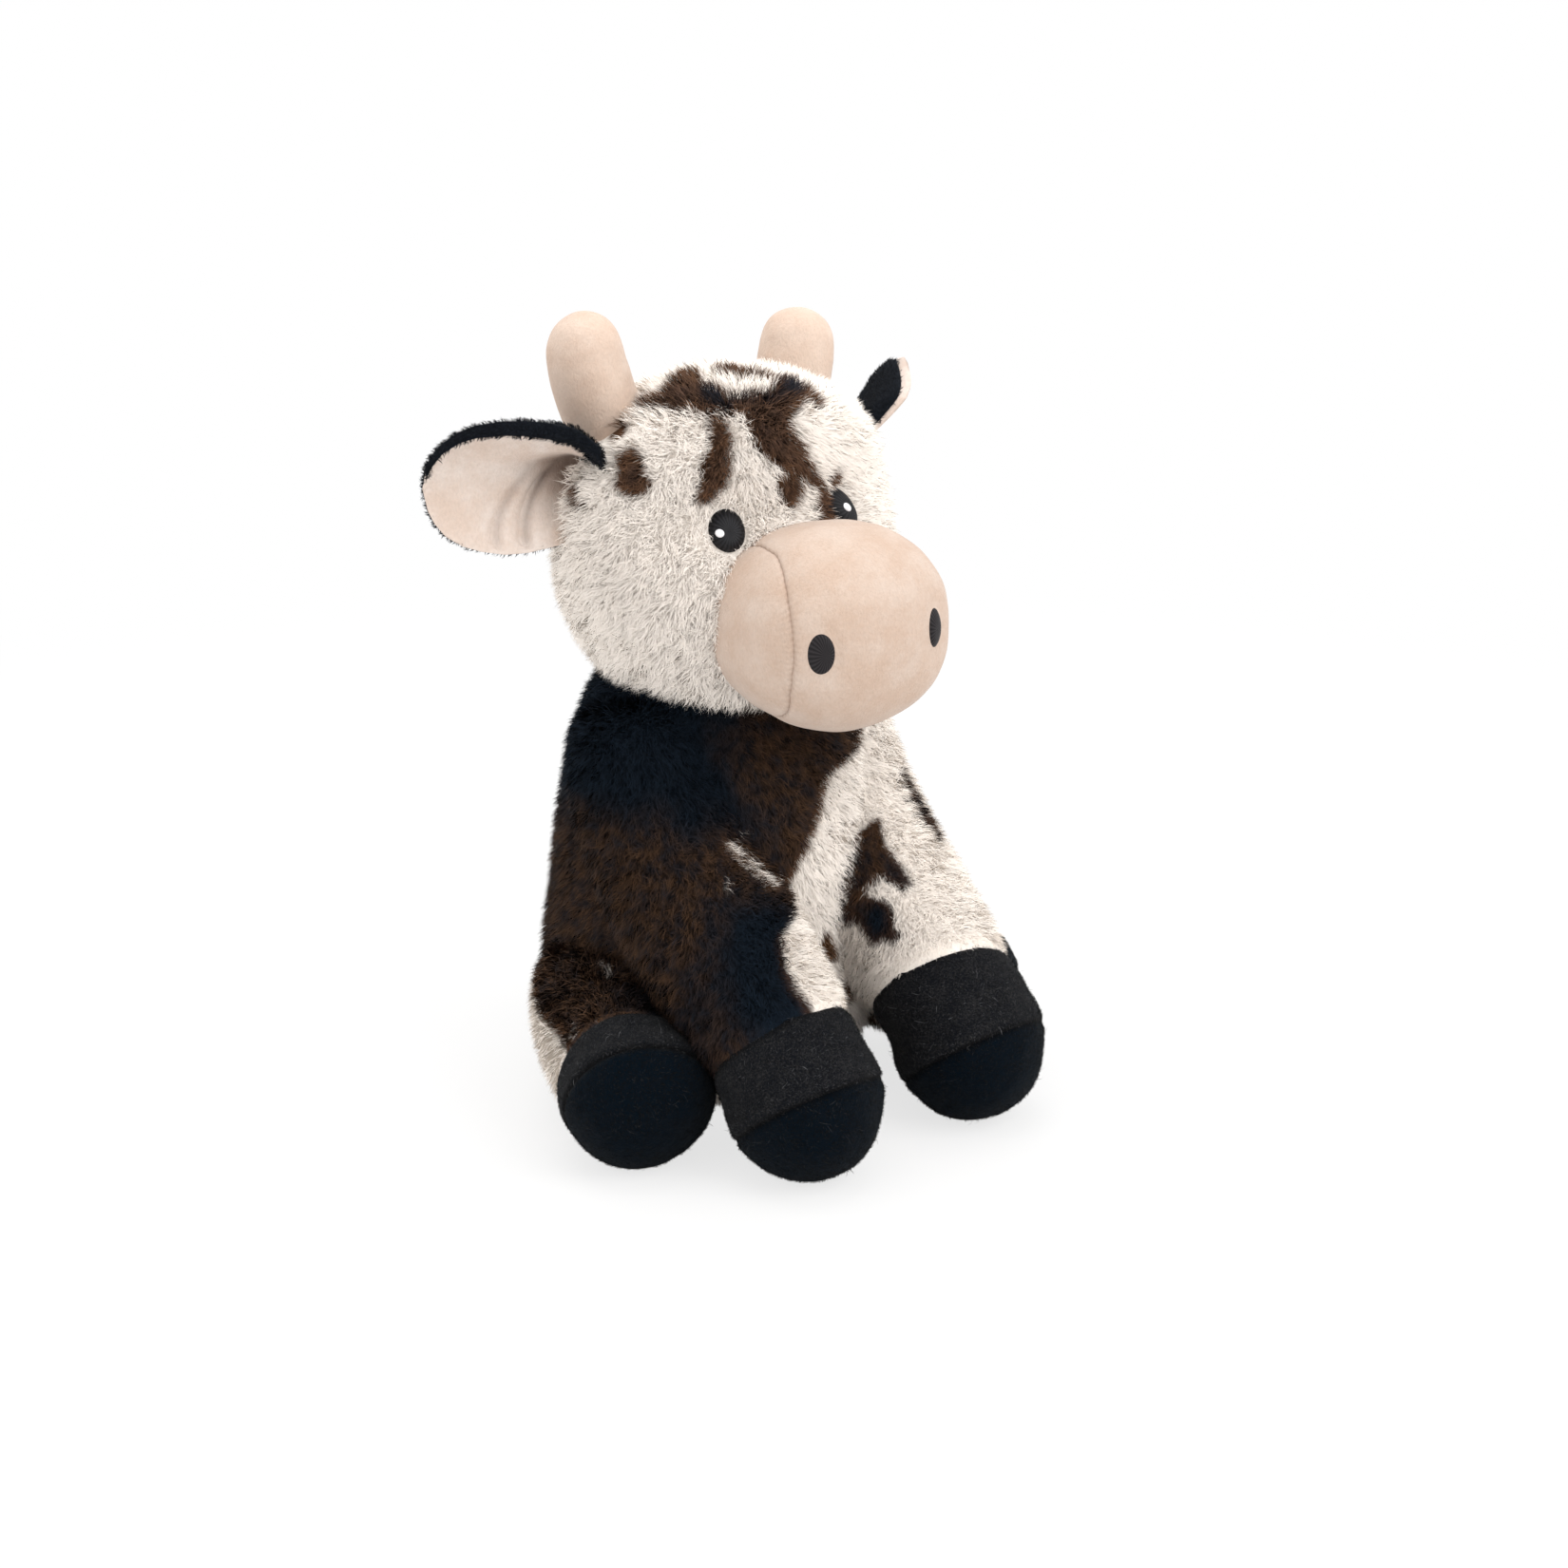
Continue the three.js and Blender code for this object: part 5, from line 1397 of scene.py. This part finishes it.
class COW_OT_ears(CowOperator, bpy.types.Operator):
    """Make both ears: a velour inner on a short plush back"""

    bl_idname = "cow.ears"
    bl_label = "Ears"

    def execute(self, context):
        # The lining is the muzzle's velour made 1.3 to 1.5 times brighter: painted light on the same cloth
        light = scaled(settings().velour, (1.3, 1.4, 1.5))
        deep = scaled(light, (0.86, 0.78, 0.72))
        # line is the colour of the painted shade in the lining's cup and beside its creases
        inner_finish = velour_finish("VelourEars", light, deep, line=(0.09, 0.055, 0.04))
        dark = np.asarray(settings().fleece) * 1.3
        back_finish = fleece_finish("EarPlush", dark, 2.0 * dark)
        back_pile = pile_finish("EarPile")

        # Both sheets are closed grids: from root to tip, and round from the front to the back
        around = np.linspace(0, 2 * math.pi, 180, endpoint=False)
        s = (1 - np.cos(np.linspace(0, math.pi, 110)))[:, None] / 2 * np.ones_like(around)
        t = np.sin(around) * np.ones_like(s)
        front = np.cos(around) * np.ones_like(s)
        bulge = np.sqrt(np.abs(front))
        creases = 3.2 * ear_crease(s, t, 0.5, 0.26, 0.035) + 2.2 * ear_crease(s, t, 0.655, 0.3, 0.03)
        # Painted shade on the lining: dark in the cup under the fold near the root, and in lines beside the
        # two creases
        shade = 1.3 * ease(-t, -0.24, -0.1) * ease(t, -0.85, 0.1) * (1 - ease(s, 0.16, 0.55))
        shade += 0.45 * ear_crease(s, t, 0.492, 0.26, 0.022) + 0.3 * ear_crease(s, t, 0.648, 0.3, 0.022)
        for side in SIDES:
            word = WORDS[side]
            _, along, _, _ = ear_frame(side)

            # Lining
            uneven = lumps(np.stack([s * 60, t * 24, s * 0], -1), 9.0, 31 + side)
            lift = np.where(front > 0, 1.7 * bulge - creases + 0.5 * uneven, 0.2 - 0.2 * bulge)
            inset = np.where(t > 0, 0.96 if side == RIGHT else 1.0, 1.0)
            points = pinched(ear_sheet(side, 0.005 + 0.995 * s, inset * t, lift))
            inner = skin(f"ear_lining_{word}", points, inner_finish, grey(shade))
            settled(inner, f"ear_{word}", "velour_beige", f"ear_inner_{word}")

            # Shell, whose edge rolls over the lining's as a brim on the right ear
            brim = ear_brim(s, t) * (side == RIGHT)
            rolled = (6.0 - 3.5 * s) * np.sin(brim * math.pi * 0.8) ** 0.7
            lift = np.where(front > 0, -0.3 + rolled, -2.2 * bulge)
            opened = np.where(t > 0, 1 + (EAR_OPENS[side] - 1) * ease(t, 0.2, 0.9), 0.985)
            points = pinched(ear_sheet(side, 0.985 * s, t * opened, lift))
            back = skin(f"ear_shell_{word}", points, back_finish, np.zeros(points.shape))
            settled(back, f"ear_{word}", "velour_black", f"ear_back_{word}")

            # Short pile over the shell, but not where the lining covers it
            rng = np.random.default_rng(SEED + 40 + side)
            shares = np.stack([s, t, front], -1)
            roots, normals, places = scattered(points, facing_out(points), 2.4, rng, shares)
            lined = (ear_brim(places[:, 0], places[:, 1]) < 0.06) | (side == LEFT)
            roots, normals = keep(~((places[:, 2] > 0.05) & lined), roots, normals)
            tint = dark * (0.8 + 1.2 * rng.random((len(roots), 1)))
            lengths = 2.0 * (0.7 + 0.6 * rng.random(len(roots)))
            for piece in pile(
                f"ear_pile_{word}", roots - 0.3 * normals, normals, np.broadcast_to(along, roots.shape),
                lengths, lambda p, t=tint: t[:, None], back_pile, rng, clump=4.0,
            ):
                settled(piece, f"ear_{word}", "velour_black")
        return {"FINISHED"}


class COW_OT_face(CowOperator, bpy.types.Operator):
    """Make the embroidered eyes and nostrils"""

    bl_idname = "cow.face"
    bl_label = "Face"

    def execute(self, context):
        on_head = head_form().level
        # Each thread's second colour is the painted sheen on its crests
        black = thread_finish("ThreadBlack", (0.004, 0.004, 0.005), (0.02, 0.02, 0.024))
        white = thread_finish("ThreadWhite", (0.8, 0.8, 0.84), (0.92, 0.92, 0.94))
        grey = thread_finish("ThreadGrey", (0.006, 0.005, 0.006), (0.035, 0.03, 0.033))
        pads = (
            ("eye", EYES, (on_head, 3.2, 1.0, black), "thread_black", "eye"),
            ("glint", GLINTS, (on_head, -0.6, 1.7, white, 8, 32), "thread_white", "eye_glint"),
            ("nostril", NOSTRILS, (muzzle_level, 1.0, 0.9, grey), "thread_grey", "nostril"),
        )
        for side, (kind, ovals, make, slot, node) in product(SIDES, pads):
            pad = patch(f"{kind}_{WORDS[side]}_thread", ovals[side], *make)
            settled(pad, "head", slot, f"{node}_{WORDS[side]}")
        return {"FINISHED"}


class COW_OT_tail(CowOperator, bpy.types.Operator):
    """Make the tail and its tuft"""

    bl_idname = "cow.tail"
    bl_label = "Tail"

    def execute(self, context):
        form = tail_form()
        points = form.points - form.normals * TAIL_SINK
        points[..., 2] = np.maximum(points[..., 2], 0.5)
        spine = run_length(form.centre)
        share = spine / spine[-1]
        tuft = ease(share, TUFT_SEAM_SHARE - 0.02, TUFT_SEAM_SHARE + 0.02)
        cream, black = np.asarray(settings().cream), np.asarray(settings().black)
        tuft = np.broadcast_to(tuft[:, None], points.shape[:2])
        tint = blended(tuft, np.broadcast_to(cream, points.shape), black)
        core = skin("tail_ground", points, ground_finish("PlushGroundTail"), tint)
        settled(core, "tail", "plush_light", "tail_cord", "tail_tuft")
        rng = np.random.default_rng(SEED + 50)
        roots, normals = scattered(form.points, form.normals, 2.2, rng)
        z = roots[:, 2]
        cut = form.centre[np.searchsorted(share, TUFT_SEAM_SHARE), 2]
        low = z < cut + rng.normal(size=len(z)) * 0.8
        mask = (z > 3.0) & (roots[:, 1] > TAIL_ROOT[1] + 1.0)
        roots, normals, low = keep(mask, roots, normals, low)
        tint = np.where(low[:, None], black, cream) * (0.85 + 0.3 * rng.random((len(roots), 1)))
        lengths = np.where(low, 8.0, 4.5) * (0.8 + 0.4 * rng.random(len(roots)))
        lengths = np.minimum(lengths, np.maximum(roots[:, 2] - 0.5, 1.5))
        hang = np.broadcast_to(-UP + 0.1 * BACKWARDS, roots.shape)
        for piece in pile(
            "tail_pile", roots - TAIL_SINK * normals, normals, hang, lengths, lambda p: tint[:, None],
            pile_finish("PlushPileTail"), rng, rise=0.3, clump=4.0,
        ):
            settled(piece, "tail", "plush_light")
        return {"FINISHED"}


def white_room(world):
    """White to the camera and through glass, and a soft warm light to everything else."""
    room = Finish(owner=world)
    path = room.node("ShaderNodeLightPath").outputs
    seen = room.maths("ADD", path["Is Camera Ray"], path["Is Transmission Ray"], clamp=True)
    soft = room.node("ShaderNodeBackground", Color=(1.0, 0.982, 0.96, 1.0), Strength=1.05)
    bright = room.node("ShaderNodeBackground", Color=WHITE, Strength=1.0)
    mix = room.node("ShaderNodeMixShader", i0=seen, i1=soft.outputs[0], i2=bright.outputs[0])
    room.node("ShaderNodeOutputWorld", Surface=mix.outputs[0])


def floor_finish():
    """To the camera a bright matt floor that keeps the shadow and turns pure white far out; else plain."""
    finish = Finish("Floor")
    matt = finish.node("ShaderNodeBsdfDiffuse", Color=(0.2, 0.2, 0.2, 1.0))
    glow = finish.node("ShaderNodeEmission", Color=WHITE, Strength=0.74)
    both = finish.node("ShaderNodeAddShader", i0=matt.outputs[0], i1=glow.outputs[0])
    plain = finish.node("ShaderNodeBsdfDiffuse", Color=(0.82, 0.82, 0.82, 1.0))
    pure = finish.node("ShaderNodeEmission", Color=WHITE, Strength=1.0)
    away = finish.node("ShaderNodeVectorMath", {"operation": "LENGTH"}, i0=finish.place)
    far = finish.step(Wire(finish, away.outputs["Value"]), 0.35, 0.8)
    seen = finish.node("ShaderNodeMixShader", i0=far, i1=both.outputs[0], i2=pure.outputs[0])
    camera_ray = finish.node("ShaderNodeLightPath").outputs["Is Camera Ray"]
    mix = finish.node("ShaderNodeMixShader", i0=camera_ray, i1=plain.outputs[0], i2=seen.outputs[0])
    finish.node("ShaderNodeOutputMaterial", Surface=mix.outputs[0])
    return finish.owner


def stand(name, data, right, up, back, place):
    """A camera or a lamp at a place in metres, with its own axes to the right, up and back."""
    thing = bpy.data.objects.new(name, data)
    columns = np.array([right, up, back, place]).T
    thing.matrix_world = Matrix([*columns.tolist(), [0, 0, 0, 1]])
    bpy.context.scene.collection.objects.link(thing)
    return thing


class COW_OT_stage(CowOperator, bpy.types.Operator):
    """Set up the white floor, the light and the camera"""

    bl_idname = "cow.stage"
    bl_label = "Stage"

    def execute(self, context):
        scene = context.scene
        scene.view_settings.view_transform = "Standard"
        scene.world = scene.world or bpy.data.worlds.new("Studio")
        white_room(scene.world)

        ring = np.linspace(0, 2 * math.pi, 96, endpoint=False)
        radius = np.array(FLOOR_RADII)[:, None]
        flat = np.zeros((len(radius), len(ring)))
        disc = np.stack([radius * np.cos(ring), radius * np.sin(ring), flat], -1)
        floor = skin("studio_floor", disc, floor_finish())

        camera = bpy.data.cameras.new("Camera")
        camera.sensor_fit, camera.sensor_width = "HORIZONTAL", SENSOR_WIDTH
        camera.lens = SENSOR_WIDTH * FOCAL_LENGTH_PX / IMAGE_WIDTH_PX
        place = np.asarray(CAMERA_PLACE) * MM
        scene.camera = stand("Camera", camera, CAMERA_RIGHT, CAMERA_UP, CAMERA_BACK, place)

        right, back = np.asarray(CAMERA_RIGHT), np.asarray(CAMERA_BACK)
        for name, place, size, energy in (
            ("Key", 1.1 * right + 0.7 * back + 0.95 * UP, 1.3, 14.5),
            ("Fill", -1.0 * right + 0.9 * back + 0.5 * UP, 1.2, 3.0),
            ("Top", -0.1 * right - 0.3 * back + 1.4 * UP, 1.2, 9.0),
        ):
            lamp = bpy.data.lights.new(name, "AREA")
            lamp.shape, lamp.size, lamp.energy = "DISK", size, energy
            away = unit(place)
            level = unit(np.cross(UP, away))
            stand(name, lamp, level, np.cross(away, level), away, LIGHT_AIM + place)
        return {"FINISHED"}


def colour_setting(name, description, default):
    """A colour that can be set, with its name, description and first value."""
    return FloatVectorProperty(
        name=name, description=description, default=default, min=0, max=1, size=3, subtype="COLOR"
    )


class CowSettings(bpy.types.PropertyGroup):
    """Sizes and colours that can be set before the pieces are made"""

    pile_length: FloatProperty(
        name="Pile length", description="Length of the plush strands", default=0.0068, min=0.004, max=0.014,
        subtype="DISTANCE", unit="LENGTH",
    )
    density: FloatProperty(
        name="Pile density", description="Strands on a square millimetre of plush",
        default=2.4, min=0.2, max=3.0,
    )
    cream: colour_setting("Cream pile", "Colour of the pale plush", (0.95, 0.885, 0.82))
    brown: colour_setting("Brown pile", "Colour of the brown plush", (0.062, 0.033, 0.018))
    russet: colour_setting("Russet pile", "Colour of the brown spots on the head", (0.105, 0.056, 0.034))
    black: colour_setting("Black pile", "Colour of the black plush", (0.0055, 0.0105, 0.018))
    tan: colour_setting("Tan fringe", "Colour of the plush between dark and pale", (0.15, 0.065, 0.022))
    velour: colour_setting("Velour", "Colour of the muzzle, horns and inner ears", (0.555, 0.455, 0.39))
    fleece: colour_setting("Fleece", "Colour of the hooves", (0.0045, 0.0056, 0.0078))


PIECES = (
    COW_OT_head, COW_OT_muzzle, COW_OT_horns, COW_OT_ears, COW_OT_face, COW_OT_body, COW_OT_forelegs,
    COW_OT_hindlegs, COW_OT_tail, COW_OT_stage,
)


class COW_PT_panel(bpy.types.Panel):
    """The cow's settings and its pieces in the order in which they are made"""

    bl_label = "Plush Cow"
    bl_idname = "COW_PT_panel"
    bl_space_type = "VIEW_3D"
    bl_region_type = "UI"
    bl_category = "Plush Cow"

    def draw(self, context):
        for name in CowSettings.__annotations__:
            self.layout.prop(context.scene.plush_cow, name)
        for piece in PIECES:
            self.layout.operator(piece.bl_idname)


CLASSES = (CowSettings, *PIECES, COW_PT_panel)


def register():
    for cls in CLASSES:
        bpy.utils.register_class(cls)
    bpy.types.Scene.plush_cow = PointerProperty(type=CowSettings)


def unregister():
    del bpy.types.Scene.plush_cow
    for cls in reversed(CLASSES):
        bpy.utils.unregister_class(cls)


def main():
    """Makes every piece through its operator."""
    register()
    for piece in PIECES:
        group, name = piece.bl_idname.split(".")
        getattr(getattr(bpy.ops, group), name)()


if __name__ == "__main__":
    main()
